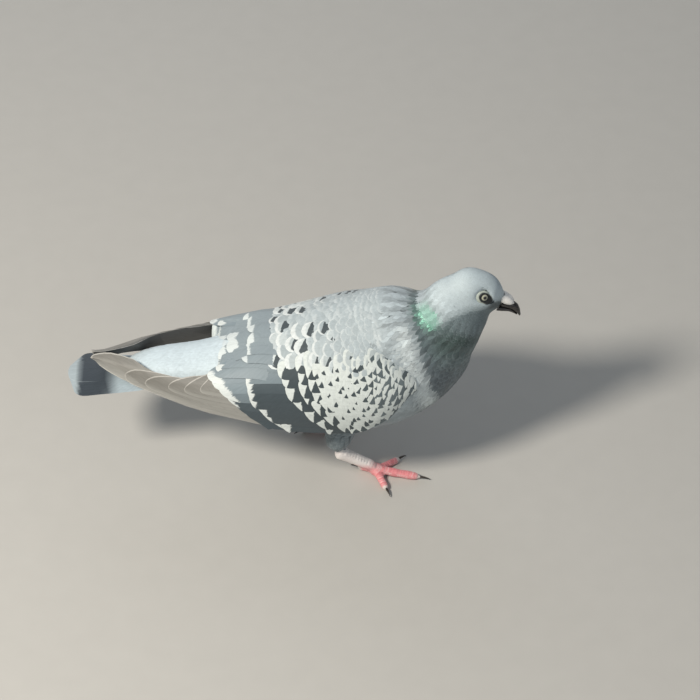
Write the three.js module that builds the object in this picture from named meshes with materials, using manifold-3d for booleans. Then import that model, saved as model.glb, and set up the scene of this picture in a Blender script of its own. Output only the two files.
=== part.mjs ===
// A feral pigeon, life size and still: standing on both feet, its head bowed, its wings folded.
// Millimetres. The bird faces +X, its left is +Y, up is +Z, and its toes stand on z = 0.
// Each body part is a closed solid of its own. Parts meet face to face across a thin parting.

import * as THREE from 'three';
import { mergeVertices } from 'three/addons/utils/BufferGeometryUtils.js';
import Module from 'manifold-3d';

const wasm = await Module();
wasm.setup();

// ---------------------------------------------------------------- driving sizes

const PARTING = 0.3; // gap between two parts that touch
const OVERSHOOT = 400; // side of the blocks used for flat cuts
const SMALLEST_END = 0.1; // a rounded end stops at this share of its radius

const LEFT = 1;
const RIGHT = -1;

const COLOURS = {
  plumage: 0x9aa5ab,
  neck: 0x59686a,
  head: 0xa9b6ba,
  wing: 0xc3cbca,
  flight: 0x8f8c88,
  tail: 0x6f777e,
  bill: 0x26262a,
  cere: 0xe6e3dc,
  iris: 0xb9a06a,
  shank: 0xd98a8a,
  claw: 0x2b2524,
};

// ---------------------------------------------------------------- shape helpers

// A smooth function of one number through its stops, given as [place, value] in rising order.
function track(stops) {
  const slope = (i) => {
    const a = stops[Math.max(i - 1, 0)];
    const b = stops[Math.min(i + 1, stops.length - 1)];
    return (b[1] - a[1]) / (b[0] - a[0]);
  };
  return (place) => {
    const p = THREE.MathUtils.clamp(place, stops[0][0], stops[stops.length - 1][0]);
    let i = 0;
    while (i < stops.length - 2 && p > stops[i + 1][0]) i += 1;
    const [x0, y0] = stops[i];
    const [x1, y1] = stops[i + 1];
    const span = x1 - x0;
    const t = (p - x0) / span;
    const h = t * t * (3 - 2 * t);
    const bend0 = t * (1 - t) * (1 - t) * span * slope(i);
    const bend1 = t * t * (t - 1) * span * slope(i + 1);
    return y0 * (1 - h) + y1 * h + bend0 + bend1;
  };
}

// Places from one end to the other, crowded towards both ends where a form rounds off.
function roundedSteps(from, to, count) {
  const places = [];
  for (let i = 0; i <= count; i += 1) {
    places.push(from + ((to - from) * (1 - Math.cos((Math.PI * i) / count))) / 2);
  }
  return places;
}

// A closed solid over rings of points, each end closed to its ring's middle.
function loft(rings) {
  const sides = rings[0].length;
  const points = rings.flat();
  const faces = [];
  for (let i = 0; i < rings.length - 1; i += 1) {
    for (let j = 0; j < sides; j += 1) {
      const a = i * sides + j;
      const b = i * sides + ((j + 1) % sides);
      faces.push(a, b, b + sides, a, b + sides, a + sides);
    }
  }
  const closeEnd = (ring, first, flip) => {
    const middle = ring.reduce((sum, p) => sum.add(p), new THREE.Vector3()).divideScalar(sides);
    const centre = points.push(middle) - 1;
    for (let j = 0; j < sides; j += 1) {
      const a = first + j;
      const b = first + ((j + 1) % sides);
      faces.push(...(flip ? [centre, b, a] : [centre, a, b]));
    }
  };
  closeEnd(rings[0], 0, true);
  closeEnd(rings[rings.length - 1], (rings.length - 1) * sides, false);
  const geometry = new THREE.BufferGeometry().setFromPoints(points);
  geometry.setIndex(faces);
  return solidFrom(geometry);
}

function solidFrom(geometry) {
  const bare = geometry.clone();
  bare.deleteAttribute('normal');
  bare.deleteAttribute('uv');
  const merged = mergeVertices(bare, 1e-4);
  const triVerts = new Uint32Array(merged.index.array);
  const vertProperties = new Float32Array(merged.attributes.position.array);
  const solid = new wasm.Manifold(new wasm.Mesh({ numProp: 3, vertProperties, triVerts }));
  if (solid.volume() > 0) return solid;
  for (let i = 0; i < triVerts.length; i += 3) {
    [triVerts[i + 1], triVerts[i + 2]] = [triVerts[i + 2], triVerts[i + 1]];
  }
  return new wasm.Manifold(new wasm.Mesh({ numProp: 3, vertProperties, triVerts }));
}

function geometryFrom(solid) {
  const { numProp, vertProperties, triVerts } = solid.getMesh();
  const position = new Float32Array((vertProperties.length / numProp) * 3);
  for (let i = 0; i < position.length / 3; i += 1) {
    position.set(vertProperties.subarray(i * numProp, i * numProp + 3), i * 3);
  }
  const geometry = new THREE.BufferGeometry();
  geometry.setAttribute('position', new THREE.BufferAttribute(position, 3));
  geometry.setIndex(new THREE.BufferAttribute(triVerts, 1));
  geometry.computeVertexNormals();
  return geometry;
}

// Everything on one side of a plane: the side that its normal points to.
function halfSpace(point, normal) {
  const block = new THREE.BoxGeometry(OVERSHOOT, OVERSHOOT, OVERSHOOT);
  block.translate(0, 0, OVERSHOOT / 2);
  const turn = new THREE.Quaternion().setFromUnitVectors(
    new THREE.Vector3(0, 0, 1),
    normal.clone().normalize(),
  );
  block.applyQuaternion(turn);
  block.translate(point.x, point.y, point.z);
  return solidFrom(block);
}

const FLOOR_BELOW = halfSpace(new THREE.Vector3(), new THREE.Vector3(0, 0, -1));

function without(solid, ...cutters) {
  return cutters.reduce((left, cutter) => left.subtract(cutter), solid);
}

// The biggest piece of a solid: a cut can leave crumbs beside it.
function mainPiece(solid) {
  return solid.decompose().sort((a, b) => b.volume() - a.volume())[0];
}

// An egg-shaped ring about (x, y, z), across the body. pitch turns its plane about Y, a swell
// below 1 squares its corners, and grow adds to it all round.
function bodyRing({ x, z, pitch = 0, above, below, side, swell = 1, sides, grow = 0, y = 0 }) {
  const ring = [];
  for (let i = 0; i < sides; i += 1) {
    const angle = (2 * Math.PI * i) / sides;
    const c = Math.cos(angle);
    const s = Math.sin(angle);
    const across = Math.sign(c) * Math.abs(c) ** swell * (side + grow);
    const up = Math.sign(s) * Math.abs(s) ** swell * ((s > 0 ? above : below) + grow);
    ring.push(
      new THREE.Vector3(x - up * Math.sin(pitch), y + across, z + up * Math.cos(pitch)),
    );
  }
  return ring;
}

// A round tube along a curve, its radius a function of the share of the way along.
function tube({ curve, radius, steps, sides, flatten = 1, grow = 0 }) {
  const rings = [];
  for (let i = 0; i <= steps; i += 1) {
    const t = i / steps;
    const centre = curve.getPointAt(t);
    const along = curve.getTangentAt(t);
    const across = new THREE.Vector3(0, 0, 1).cross(along).normalize();
    const up = along.clone().cross(across).normalize();
    const r = radius(t) + grow;
    const ring = [];
    for (let j = 0; j < sides; j += 1) {
      const angle = (2 * Math.PI * (j + 0.5)) / sides;
      ring.push(
        centre
          .clone()
          .addScaledVector(across, r * Math.cos(angle))
          .addScaledVector(up, r * flatten * Math.sin(angle)),
      );
    }
    rings.push(ring);
  }
  return loft(rings);
}

// Rounds a radius off over the last share of a form, from 1 down to the smallest end.
function roundOff(t, share) {
  const past = Math.max(0, (t - (1 - share)) / share);
  return Math.sqrt(Math.max(1 - past * past, SMALLEST_END ** 2));
}

function pointed(t, share) {
  return roundOff(t, share) * roundOff(1 - t, share);
}

// ---------------------------------------------------------------- trunk

// From the coverts over the tail's root to the front of the breast.
const TRUNK = {
  rear: -117,
  front: 118.5,
  sides: 22,
  steps: 19,
  axis: track([
    [-117, 79.5], [-106, 81], [-95, 82], [-80, 83], [-20, 83], [15, 84], [50, 88], [80, 93], [118.5, 96],
  ]),
  above: track([
    [-117, 2.6], [-106, 6.3], [-95, 9.5], [-80, 12], [-55, 16.5], [-25, 29],
    [10, 43.5], [45, 51], [62, 53], [78, 53.5], [118.5, 34],
  ]),
  below: track([
    [-117, 2.4], [-106, 5], [-95, 8.5], [-85, 11], [-55, 18], [-25, 30],
    [10, 42], [45, 50], [80, 49.5], [118.5, 44],
  ]),
  side: track([
    [-117, 9], [-106, 13], [-85, 16.5], [-55, 21], [-25, 30], [10, 39], [45, 43], [80, 42], [118.5, 33],
  ]),
  breastRound: 0.28, // share of the length over which the breast rounds off
  rearRound: 0.04,
};

function trunkSolid(grow = 0) {
  const { rear, front, sides, steps } = TRUNK;
  const rings = roundedSteps(rear - grow, front + grow, steps).map((x) => {
    const t = (x - rear + grow) / (front - rear + 2 * grow);
    const closing = roundOff(t, TRUNK.breastRound) * roundOff(1 - t, TRUNK.rearRound);
    return bodyRing({
      x,
      z: TRUNK.axis(x),
      above: TRUNK.above(x) * closing,
      below: TRUNK.below(x) * closing,
      side: TRUNK.side(x) * closing,
      sides,
      grow,
    });
  });
  return loft(rings);
}

// ---------------------------------------------------------------- head

// The head is drawn level, its bill forward, then bowed about its own middle.
const HEAD = {
  x: 116.4,
  z: 149,
  bow: THREE.MathUtils.degToRad(-24),
  back: -16,
  front: 23,
  sides: 18,
  steps: 12,
  axis: track([[-16, 1.5], [0, 2], [12, 1.8], [23, 0.2]]),
  above: track([[-16, 12], [-8, 13.6], [0, 14.2], [8, 14.3], [14, 12.6], [19, 9.4], [23, 6.4]]),
  below: track([[-16, 12], [-8, 13.8], [0, 14.8], [8, 15.2], [14, 14.4], [19, 11.6], [23, 8.4]]),
  side: track([[-16, 11], [-8, 12.8], [0, 13.4], [8, 12.7], [14, 10.2], [19, 6.3], [23, 4]]),
  napeRound: 0.28, // share of the length over which each end rounds off
  faceRound: 0.05,
};

// From the level head's own forward, left and up to the bird's frame.
function onHead(forward, left, up) {
  const { x, z, bow } = HEAD;
  return new THREE.Vector3(
    x + forward * Math.cos(bow) - up * Math.sin(bow),
    left,
    z + forward * Math.sin(bow) + up * Math.cos(bow),
  );
}

function headSolid(grow = 0) {
  const { back, front, sides, steps } = HEAD;
  const rings = roundedSteps(back - grow, front + grow, steps).map((f) => {
    const t = (f - back + grow) / (front - back + 2 * grow);
    const closing = roundOff(1 - t, HEAD.napeRound) * roundOff(t, HEAD.faceRound);
    const centre = onHead(f, 0, HEAD.axis(f));
    return bodyRing({
      x: centre.x,
      z: centre.z,
      pitch: HEAD.bow,
      above: HEAD.above(f) * closing,
      below: HEAD.below(f) * closing,
      side: HEAD.side(f) * closing,
      sides,
      grow,
    });
  });
  return loft(rings);
}

// ---------------------------------------------------------------- neck

const NECK = {
  sides: 18,
  steps: 7,
  x: track([[0, 78], [0.4, 97], [0.75, 109.5], [1, 115.5]]),
  z: track([[0, 98], [0.4, 114], [0.75, 133], [1, 147]]),
  lean: track([[0, 30], [0.4, 42], [0.75, 50], [1, 54]]), // degrees above level
  nape: track([[0, 33], [0.4, 30.5], [0.75, 26], [1, 20.5]]),
  throat: track([[0, 33], [0.4, 28.5], [0.75, 22.3], [1, 19]]),
  side: track([[0, 33], [0.4, 27.5], [0.75, 20], [1, 13]]),
};

function neckSolid() {
  const rings = [];
  for (let i = 0; i <= NECK.steps; i += 1) {
    const t = i / NECK.steps;
    rings.push(
      bodyRing({
        x: NECK.x(t),
        z: NECK.z(t),
        pitch: THREE.MathUtils.degToRad(NECK.lean(t)),
        above: NECK.nape(t),
        below: NECK.throat(t),
        side: NECK.side(t),
        sides: NECK.sides,
      }),
    );
  }
  return loft(rings);
}

// ---------------------------------------------------------------- eyes

const EYE = { forward: 5.8, left: 8.9, up: 5.8, radius: 4.6 };

function eyeSolid(hand, grow = 0) {
  const ball = new THREE.IcosahedronGeometry(EYE.radius + grow, 2);
  const centre = onHead(EYE.forward, hand * EYE.left, EYE.up);
  ball.translate(centre.x, centre.y, centre.z);
  return solidFrom(ball);
}

// ---------------------------------------------------------------- bill

const BILL = {
  base: 19,
  tip: 39,
  sides: 10,
  steps: 8,
  culmen: track([[19, 4], [24, 3.6], [27.5, 2.6], [30.6, 2.4], [34, 1.2], [36.8, -1.6], [39, -5.2]]),
  gape: track([[19, -3], [25, -2.8], [30, -2.5], [34, -3.5], [36.8, -5.2], [39, -6.8]]), // mouth line
  side: track([[19, 4.8], [26, 3.4], [30, 2.9], [34, 2.7], [37, 1.8], [39, 0.7]]),
  squareness: 0.8,
  lowerTip: 36.4,
  lowerWidth: 0.9, // share of the upper mandible's width
  lowerDepth: track([[19, 4.2], [25, 3.5], [30.5, 2], [34, 1.2], [36.4, 0.5]]),
};

// One mandible: a half round on one side of the line of the gape.
function mandible(tip, topAt, bottomAt, sideAt) {
  const rings = [];
  for (let i = 0; i <= BILL.steps; i += 1) {
    const f = BILL.base + ((tip - BILL.base) * i) / BILL.steps;
    const top = topAt(f);
    const bottom = bottomAt(f);
    const centre = onHead(f, 0, (top + bottom) / 2);
    rings.push(
      bodyRing({
        x: centre.x,
        z: centre.z,
        pitch: HEAD.bow,
        above: (top - bottom) / 2,
        below: (top - bottom) / 2,
        side: sideAt(f),
        swell: BILL.squareness,
        sides: BILL.sides,
      }),
    );
  }
  return loft(rings);
}

function upperMandible() {
  return mandible(BILL.tip, BILL.culmen, BILL.gape, BILL.side);
}

function lowerMandible() {
  const top = (f) => BILL.gape(f) - PARTING;
  const bottom = (f) => top(f) - BILL.lowerDepth(f);
  return mandible(BILL.lowerTip, top, bottom, (f) => BILL.side(f) * BILL.lowerWidth);
}

// The white cere: two swellings side by side over the nostrils.
const CERE = {
  back: 16.8,
  front: 29,
  up: 4.2,
  fall: 1.6,
  rise: 3.8,
  side: 3.1,
  spread: 2.9,
  closeIn: 0.4, // the lobes draw together by this share towards the front
  sink: 0.3, // and their tops come down by this one
  under: 0.8,
  sides: 10,
  steps: 7,
};

function cereSolid(grow = 0) {
  const lobe = (hand) => {
    const rings = [];
    for (let i = 0; i <= CERE.steps; i += 1) {
      const t = i / CERE.steps;
      const f = CERE.back + (CERE.front - CERE.back) * t;
      const plump = pointed(t, 0.5);
      const centre = onHead(f, 0, CERE.up - CERE.fall * t);
      rings.push(
        bodyRing({
          x: centre.x,
          z: centre.z,
          y: hand * CERE.spread * (1 - CERE.closeIn * t),
          pitch: HEAD.bow,
          above: CERE.rise * plump * (1 - CERE.sink * t),
          below: CERE.rise * plump * CERE.under,
          side: CERE.side * plump,
          sides: CERE.sides,
          grow,
        }),
      );
    }
    return loft(rings);
  };
  return lobe(LEFT).add(lobe(RIGHT));
}

// ---------------------------------------------------------------- wings

// Edges of the folded wing along X, for the left wing. The lower edge runs along the flank
// to the wing tip, and the upper edge along the back.
const WING = {
  tip: -136.5,
  bend: 82,
  sides: 12, // spans across the outer face, and half as many inside
  steps: 18,
  lowerY: track([
    [-136.5, 4.2], [-124, 11], [-110, 18], [-90, 25.5], [-57, 34],
    [-26, 41], [5, 44.5], [37, 44.5], [58, 45], [72, 42.5], [82, 39],
  ]),
  lowerZ: track([
    [-136.5, 90.2], [-124, 87.3], [-110, 84.4], [-90, 78], [-57, 69.5],
    [-26, 66.7], [5, 62.6], [37, 61.7], [58, 68.6], [72, 83.5], [82, 97],
  ]),
  upperY: track([
    [-136.5, 4.9], [-110, 6.2], [-90, 12.5], [-57, 19],
    [-26, 17], [5, 20], [37, 26], [58, 30], [72, 33.5], [82, 37],
  ]),
  upperZ: track([
    [-136.5, 93], [-110, 93.6], [-90, 94.5], [-57, 98.5],
    [-26, 110], [5, 120.5], [37, 128], [58, 125], [72, 116], [82, 101],
  ]),
  // outward bow of the outer face, as a share of the edge-to-edge distance
  bulge: track([
    [-136.5, 0.4], [-110, 0.5], [-90, 0.46], [-57, 0.36], [-26, 0.25], [5, 0.19], [82, 0.185],
  ]),
  // the bow stands nearer to the upper edge towards the wing tip
  skew: track([[-136.5, 1.5], [-57, 1.35], [-26, 1.1], [82, 1]]),
  thickness: track([[-136.5, 1], [-110, 2], [-60, 4], [-20, 8], [20, 12], [60, 12], [82, 7]]),
  fullness: 0.8, // below 1, the bow is fuller than half a sine
  innerFullness: 0.5,
  secondaryInset: 1.1, // how far the flight feathers lie under the coverts' face
  primaryInset: 2,
};

// A point on the wing's outer face: place along X, share s from the lower to the upper edge.
function wingFace(x, s, inset) {
  const low = new THREE.Vector3(x, WING.lowerY(x), WING.lowerZ(x));
  const high = new THREE.Vector3(x, WING.upperY(x), WING.upperZ(x));
  const chord = high.clone().sub(low);
  const out = new THREE.Vector3(0, chord.z, -chord.y).normalize();
  const bow = WING.bulge(x) * chord.length() * Math.sin(Math.PI * s ** WING.skew(x)) ** WING.fullness;
  return low.addScaledVector(chord, s).addScaledVector(out, bow - inset);
}

function wingLoft(inset) {
  const rings = roundedSteps(WING.tip, WING.bend, WING.steps).map((x) => {
    const ring = [];
    const inner = WING.sides / 2;
    for (let i = 0; i <= WING.sides; i += 1) ring.push(wingFace(x, i / WING.sides, inset));
    for (let i = inner - 1; i > 0; i -= 1) {
      const s = i / inner;
      const depth = WING.thickness(x) * Math.sin(Math.PI * s) ** WING.innerFullness;
      ring.push(wingFace(x, s, inset + depth));
    }
    return ring;
  });
  return loft(rings);
}

// Slanting parting planes, each given by two points of the side view: [x, z] high and low.
const COVERT_EDGE = { high: [-36, 108], low: [-8, 64] };
const SECONDARY_EDGE = { high: [-60, 98], low: [-26, 66] };

// The half space ahead of a parting plane, moved forward by shift.
function aheadOf({ high, low }, shift) {
  const normal = new THREE.Vector3(high[1] - low[1], 0, low[0] - high[0]).normalize();
  const point = new THREE.Vector3(high[0], 0, high[1]).addScaledVector(normal, shift);
  return halfSpace(point, normal);
}

function wingSolids() {
  const half = PARTING / 2;
  const whole = wingLoft(0);
  const middle = wingLoft(WING.secondaryInset);
  const inner = wingLoft(WING.primaryInset);
  return {
    wing: whole.intersect(aheadOf(COVERT_EDGE, half)),
    secondaries: middle
      .subtract(aheadOf(COVERT_EDGE, -half))
      .intersect(aheadOf(SECONDARY_EDGE, half)),
    primaries: inner.subtract(aheadOf(SECONDARY_EDGE, -half)),
  };
}

// ---------------------------------------------------------------- tail

const TAIL = {
  root: -82,
  tip: -153,
  rootZ: 81.5,
  tipZ: 75,
  sides: 12,
  steps: 10,
  side: track([[-153, 21.4], [-137, 21.2], [-118, 20], [-100, 18.5], [-82, 14]]),
  arch: track([[-153, 1], [-130, 2.6], [-100, 6], [-82, 5]]), // how far the edges droop
  thickness: track([[-153, 0.7], [-130, 1], [-100, 2.2], [-82, 3]]),
  tipRound: 0.22,
  squareness: 0.6,
};

function tailSolid() {
  const { root, tip, sides, steps } = TAIL;
  const rings = roundedSteps(tip, root, steps).map((x) => {
    const t = (x - tip) / (root - tip);
    const side = TAIL.side(x) * roundOff(1 - t, TAIL.tipRound);
    const level = TAIL.tipZ + (TAIL.rootZ - TAIL.tipZ) * t;
    const ring = [];
    for (let i = 0; i < sides; i += 1) {
      const angle = (2 * Math.PI * i) / sides;
      const y = side * Math.cos(angle);
      const droop = TAIL.arch(x) * (y / TAIL.side(x)) ** 2;
      const s = Math.sin(angle);
      const up = TAIL.thickness(x) * Math.sign(s) * Math.abs(s) ** TAIL.squareness;
      ring.push(new THREE.Vector3(x, y, level - droop + up));
    }
    return ring;
  });
  return loft(rings);
}

// ---------------------------------------------------------------- legs

// Each leg: the foot's joint, the ankle and the thigh's top. The left foot trails the right.
const LEGS = {
  [RIGHT]: { foot: [54.6, 19.6], ankle: [26.2, 20.5, 23.2], knee: [34.5, 18, 58] },
  [LEFT]: { foot: [15.5, 26], ankle: [-4.5, 24.5, 28.5], knee: [19, 19, 58] },
};
const THIGH = { wide: 14, narrow: 8.2, taper: 0.7, round: 0.12, past: 0.8, sides: 12, steps: 5 };
const SHANK = {
  footZ: 5.6, // where the shank ends over the floor
  round: 0.1,
  flatten: 1.12,
  sides: 10,
  steps: 8,
  radius: track([[0, 4], [0.12, 4.5], [0.3, 3.9], [0.6, 3.5], [0.85, 3.5], [1, 3.6]]),
};
const FOOT = { radius: 4.7, height: 4.6, raise: 0.9 };
const TOE = {
  sides: 8,
  start: 0.08, // share of the length at which a toe leaves the foot's pad
  spans: 4,
  lift: track([[0, 4.4], [0.25, 3.1], [0.6, 2.3], [1, 1.75]]), // for a toe of typical thickness
  typical: 2.4,
  taper: 0.12,
  joint: 0.06, // swelling at each joint
  round: 0.14,
  flatten: 0.95,
};
const CLAW = { root: -2.6, rise: 0.3, droop: 0.62, wide: 1.35, point: 0.28, sides: 6, steps: 4 };

// Each toe: its heading in degrees, turned outward from straight ahead, and its two lengths.
const TOES = {
  middle: { heading: 10.5, length: 32, claw: 8, thick: 2.9, joints: 3 },
  outer: { heading: 68, length: 20, claw: 8, thick: 2.5, joints: 3 },
  inner: { heading: -38, length: 22, claw: 6.5, thick: 2.4, joints: 2 },
  hind: { heading: -157, length: 14.5, claw: 6, thick: 2.4, joints: 1 },
};

function footJoint(hand, z = 0) {
  const [x, y] = LEGS[hand].foot;
  return new THREE.Vector3(x, hand * y, z);
}

function ankle(hand) {
  const [x, y, z] = LEGS[hand].ankle;
  return new THREE.Vector3(x, hand * y, z);
}

function thighSolid(hand, grow = 0) {
  const [x, y, z] = LEGS[hand].knee;
  const knee = new THREE.Vector3(x, hand * y, z);
  const end = ankle(hand);
  end.addScaledVector(knee.clone().sub(end).normalize(), -THIGH.past);
  const curve = new THREE.LineCurve3(knee, end);
  const radius = (t) =>
    THREE.MathUtils.lerp(THIGH.wide, THIGH.narrow, t ** THIGH.taper) * roundOff(t, THIGH.round);
  return tube({ curve, radius, steps: THIGH.steps, sides: THIGH.sides, grow });
}

function shankSolid(hand, grow = 0) {
  const curve = new THREE.LineCurve3(ankle(hand), footJoint(hand, SHANK.footZ));
  const { steps, sides, round, flatten } = SHANK;
  const radius = (t) => SHANK.radius(t) * pointed(t, round);
  return tube({ curve, radius, steps, sides, flatten, grow });
}

function footPad(hand, grow = 0) {
  const pad = new THREE.SphereGeometry(1, 10, 6);
  pad.scale(FOOT.radius + grow, FOOT.radius + grow, FOOT.height + grow);
  const centre = footJoint(hand, FOOT.height * FOOT.raise);
  pad.translate(centre.x, centre.y, centre.z);
  return solidFrom(pad).subtract(FLOOR_BELOW);
}

function toeEnds(hand, toe) {
  const heading = THREE.MathUtils.degToRad(hand * toe.heading);
  const ahead = new THREE.Vector3(Math.cos(heading), Math.sin(heading), 0);
  const root = footJoint(hand);
  return { ahead, root, end: root.clone().addScaledVector(ahead, toe.length) };
}

function toeSolid(hand, toe, grow = 0) {
  const { ahead, root } = toeEnds(hand, toe);
  const points = [];
  for (let i = 0; i <= TOE.spans; i += 1) {
    const t = THREE.MathUtils.lerp(TOE.start, 1, i / TOE.spans);
    const p = root.clone().addScaledVector(ahead, toe.length * t);
    p.z = TOE.lift(t) * (toe.thick / TOE.typical);
    points.push(p);
  }
  const pad = (t) => 1 + TOE.joint * Math.cos(2 * Math.PI * toe.joints * t);
  const radius = (t) => toe.thick * (1 - TOE.taper * t) * pad(t) * roundOff(t, TOE.round);
  const curve = new THREE.CatmullRomCurve3(points);
  const steps = 3 + toe.joints;
  const body = tube({ curve, radius, steps, sides: TOE.sides, flatten: TOE.flatten, grow });
  return body.subtract(FLOOR_BELOW);
}

function clawSolid(hand, toe) {
  const { ahead, end } = toeEnds(hand, toe);
  const places = [[CLAW.root, 2.1], [CLAW.rise, 2.5], [CLAW.droop * toe.claw, 2], [toe.claw, 0.7]];
  const points = places.map(([d, z]) => {
    const p = end.clone().addScaledVector(ahead, d);
    p.z = z;
    return p;
  });
  const curve = new THREE.CatmullRomCurve3(points);
  const radius = (t) => THREE.MathUtils.lerp(CLAW.wide, CLAW.point, t);
  return tube({ curve, radius, steps: CLAW.steps, sides: CLAW.sides }).subtract(FLOOR_BELOW);
}

// ---------------------------------------------------------------- the bird

const bird = new THREE.Group();

function place(name, solid, colour, roughness = 0.8) {
  const material = new THREE.MeshStandardMaterial({ color: colour, roughness, metalness: 0 });
  const mesh = new THREE.Mesh(geometryFrom(mainPiece(solid)), material);
  mesh.name = name;
  bird.add(mesh);
}

function mirrored(solid, hand) {
  return hand === LEFT ? solid : solid.mirror([0, 1, 0]);
}

const trunk = trunkSolid();
const trunkRoom = trunkSolid(PARTING);
const headRoom = headSolid(PARTING);
const neck = without(neckSolid(), trunkRoom, headRoom);
const neckRoom = neckSolid();
const eyeRooms = [LEFT, RIGHT].map((hand) => eyeSolid(hand, PARTING));
const cere = cereSolid();
const head = without(headSolid(), ...eyeRooms);

place('trunk', trunk, COLOURS.plumage);
place('neck', neck, COLOURS.neck);
place('head', head, COLOURS.head);
place('tail', tailSolid().subtract(trunkRoom), COLOURS.tail);
place('cere', without(cere, headRoom), COLOURS.cere, 0.6);

const cereRoom = cereSolid(PARTING);
place('bill_upper', without(upperMandible(), headRoom, cereRoom), COLOURS.bill, 0.4);
place('bill_lower', without(lowerMandible(), headRoom), COLOURS.bill, 0.4);

const wingParts = wingSolids();
for (const [hand, side] of [[LEFT, 'left'], [RIGHT, 'right']]) {
  place(`eye_${side}`, eyeSolid(hand), COLOURS.iris, 0.15);

  for (const [part, solid] of Object.entries(wingParts)) {
    const colour = part === 'wing' ? COLOURS.wing : COLOURS.flight;
    place(`${part}_${side}`, without(mirrored(solid, hand), trunkRoom, neckRoom), colour);
  }

  const wingRoom = mirrored(wingParts.wing, hand);
  const thigh = without(thighSolid(hand), trunkRoom, wingRoom);
  place(`thigh_${side}`, thigh, COLOURS.plumage);
  const shank = without(shankSolid(hand), thighSolid(hand, PARTING));
  place(`shank_${side}`, shank, COLOURS.shank, 0.6);

  const taken = [shankSolid(hand, PARTING)];
  place(`foot_${side}`, without(footPad(hand), ...taken), COLOURS.shank, 0.6);
  taken.push(footPad(hand, PARTING));
  for (const [name, toe] of Object.entries(TOES)) {
    place(`toe_${name}_${side}`, without(toeSolid(hand, toe), ...taken), COLOURS.shank, 0.6);
    const claw = without(clawSolid(hand, toe), toeSolid(hand, toe, PARTING));
    place(`claw_${name}_${side}`, claw, COLOURS.claw, 0.4);
    taken.push(toeSolid(hand, toe, PARTING));
  }
}

// The frame's origin: the middle of the bird's length and width, on the floor.
const extent = new THREE.Box3().setFromObject(bird);
const middle = extent.getCenter(new THREE.Vector3());
bird.position.set(-middle.x, -middle.y, 0);

export default bird;
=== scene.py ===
import functools
import itertools
import math

import bmesh
import bpy
import numpy as np
from mathutils import Matrix, Vector
from mathutils.bvhtree import BVHTree


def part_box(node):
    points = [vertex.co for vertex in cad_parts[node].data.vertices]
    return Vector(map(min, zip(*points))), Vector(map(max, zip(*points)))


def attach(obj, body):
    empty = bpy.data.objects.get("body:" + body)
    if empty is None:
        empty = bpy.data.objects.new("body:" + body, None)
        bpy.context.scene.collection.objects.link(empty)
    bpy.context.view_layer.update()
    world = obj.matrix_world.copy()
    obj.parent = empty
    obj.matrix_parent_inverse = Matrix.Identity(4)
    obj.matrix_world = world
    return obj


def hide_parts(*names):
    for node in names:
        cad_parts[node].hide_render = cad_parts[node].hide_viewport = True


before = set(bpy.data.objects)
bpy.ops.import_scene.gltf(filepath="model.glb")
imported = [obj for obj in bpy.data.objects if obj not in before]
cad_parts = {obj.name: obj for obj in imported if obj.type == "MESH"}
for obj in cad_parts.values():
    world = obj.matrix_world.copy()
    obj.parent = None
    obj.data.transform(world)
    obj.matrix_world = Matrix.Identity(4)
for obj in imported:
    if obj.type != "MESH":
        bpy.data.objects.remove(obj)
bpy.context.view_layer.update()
print("frame loaded with", len(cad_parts), "nodes")

mm = 0.001
left, right = 1, -1  # the bird faces +X and its left is +Y
handNames = {left: "left", right: "right"}
handEnds = {left: "Left", right: "Right"}
hands = (left, right)
toeNames = ("middle", "outer", "inner", "hind")

# ---- small helpers


def linear(hexColour):
    channels = np.array([int(hexColour[i : i + 2], 16) / 255 for i in (1, 3, 5)])
    return np.where(channels <= 0.04045, channels / 12.92, ((channels + 0.055) / 1.055) ** 2.4)


def ease(low, high, value):
    t = np.clip((value - low) / (high - low), 0, 1)
    return t * t * (3 - 2 * t)


def lengthOf(vectors):
    return np.linalg.norm(vectors, axis=-1)


def unit(vectors):
    return vectors / np.maximum(lengthOf(vectors), 1e-12)[..., None]


def dot(a, b):
    return np.sum(a * b, axis=-1)


def track(stops, value):
    places, values = zip(*stops)
    return np.interp(value, places, values)


def blend(a, b, share):
    return a + (b - a) * np.asarray(share)[..., None]


def nodeArrays(name):
    mesh = bmesh.new()
    mesh.from_mesh(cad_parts[name].data)
    bmesh.ops.remove_doubles(mesh, verts=mesh.verts, dist=1e-6)
    bmesh.ops.recalc_face_normals(mesh, faces=mesh.faces)
    points = np.array([v.co for v in mesh.verts])
    normals = np.array([v.normal for v in mesh.verts])
    faces = [[v.index for v in f.verts] for f in mesh.faces]
    mesh.free()
    return points, normals, faces


def middleOf(name):
    low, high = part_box(name)
    return np.array((low + high) / 2)


def joined(names):
    # several solids' points, normals and faces in millimetres, and which solid each face is from
    points, normals, faces, owners = [], [], [], []
    for place, name in enumerate(names):
        p, n, f = nodeArrays(name)
        first = sum(map(len, points))
        faces += [[i + first for i in face] for face in f]
        owners += [place] * len(f)
        points.append(p / mm)
        normals.append(n)
    return np.concatenate(points), np.concatenate(normals), faces, owners


def treeOf(names):
    points, _, faces, _ = joined(names)
    return BVHTree.FromPolygons(points.tolist(), faces)


def meshFrom(name, points, faces, sizes=None):
    # faces are lists of corners, or all corners in one row with each face's number of them in sizes
    if sizes is None:
        faces, sizes = [i for face in faces for i in face], [len(face) for face in faces]
    mesh = bpy.data.meshes.new(name)
    mesh.vertices.add(len(points))
    mesh.vertices.foreach_set("co", np.asarray(points, np.float32).ravel())
    mesh.loops.add(len(faces))
    mesh.loops.foreach_set("vertex_index", np.asarray(faces, np.int32))
    mesh.polygons.add(len(sizes))
    starts = np.concatenate([[0], np.cumsum(sizes)[:-1]])
    mesh.polygons.foreach_set("loop_start", starts.astype(np.int32))
    mesh.update(calc_edges=True)
    mesh.polygons.foreach_set("use_smooth", np.ones(len(sizes), bool))
    return mesh


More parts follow.
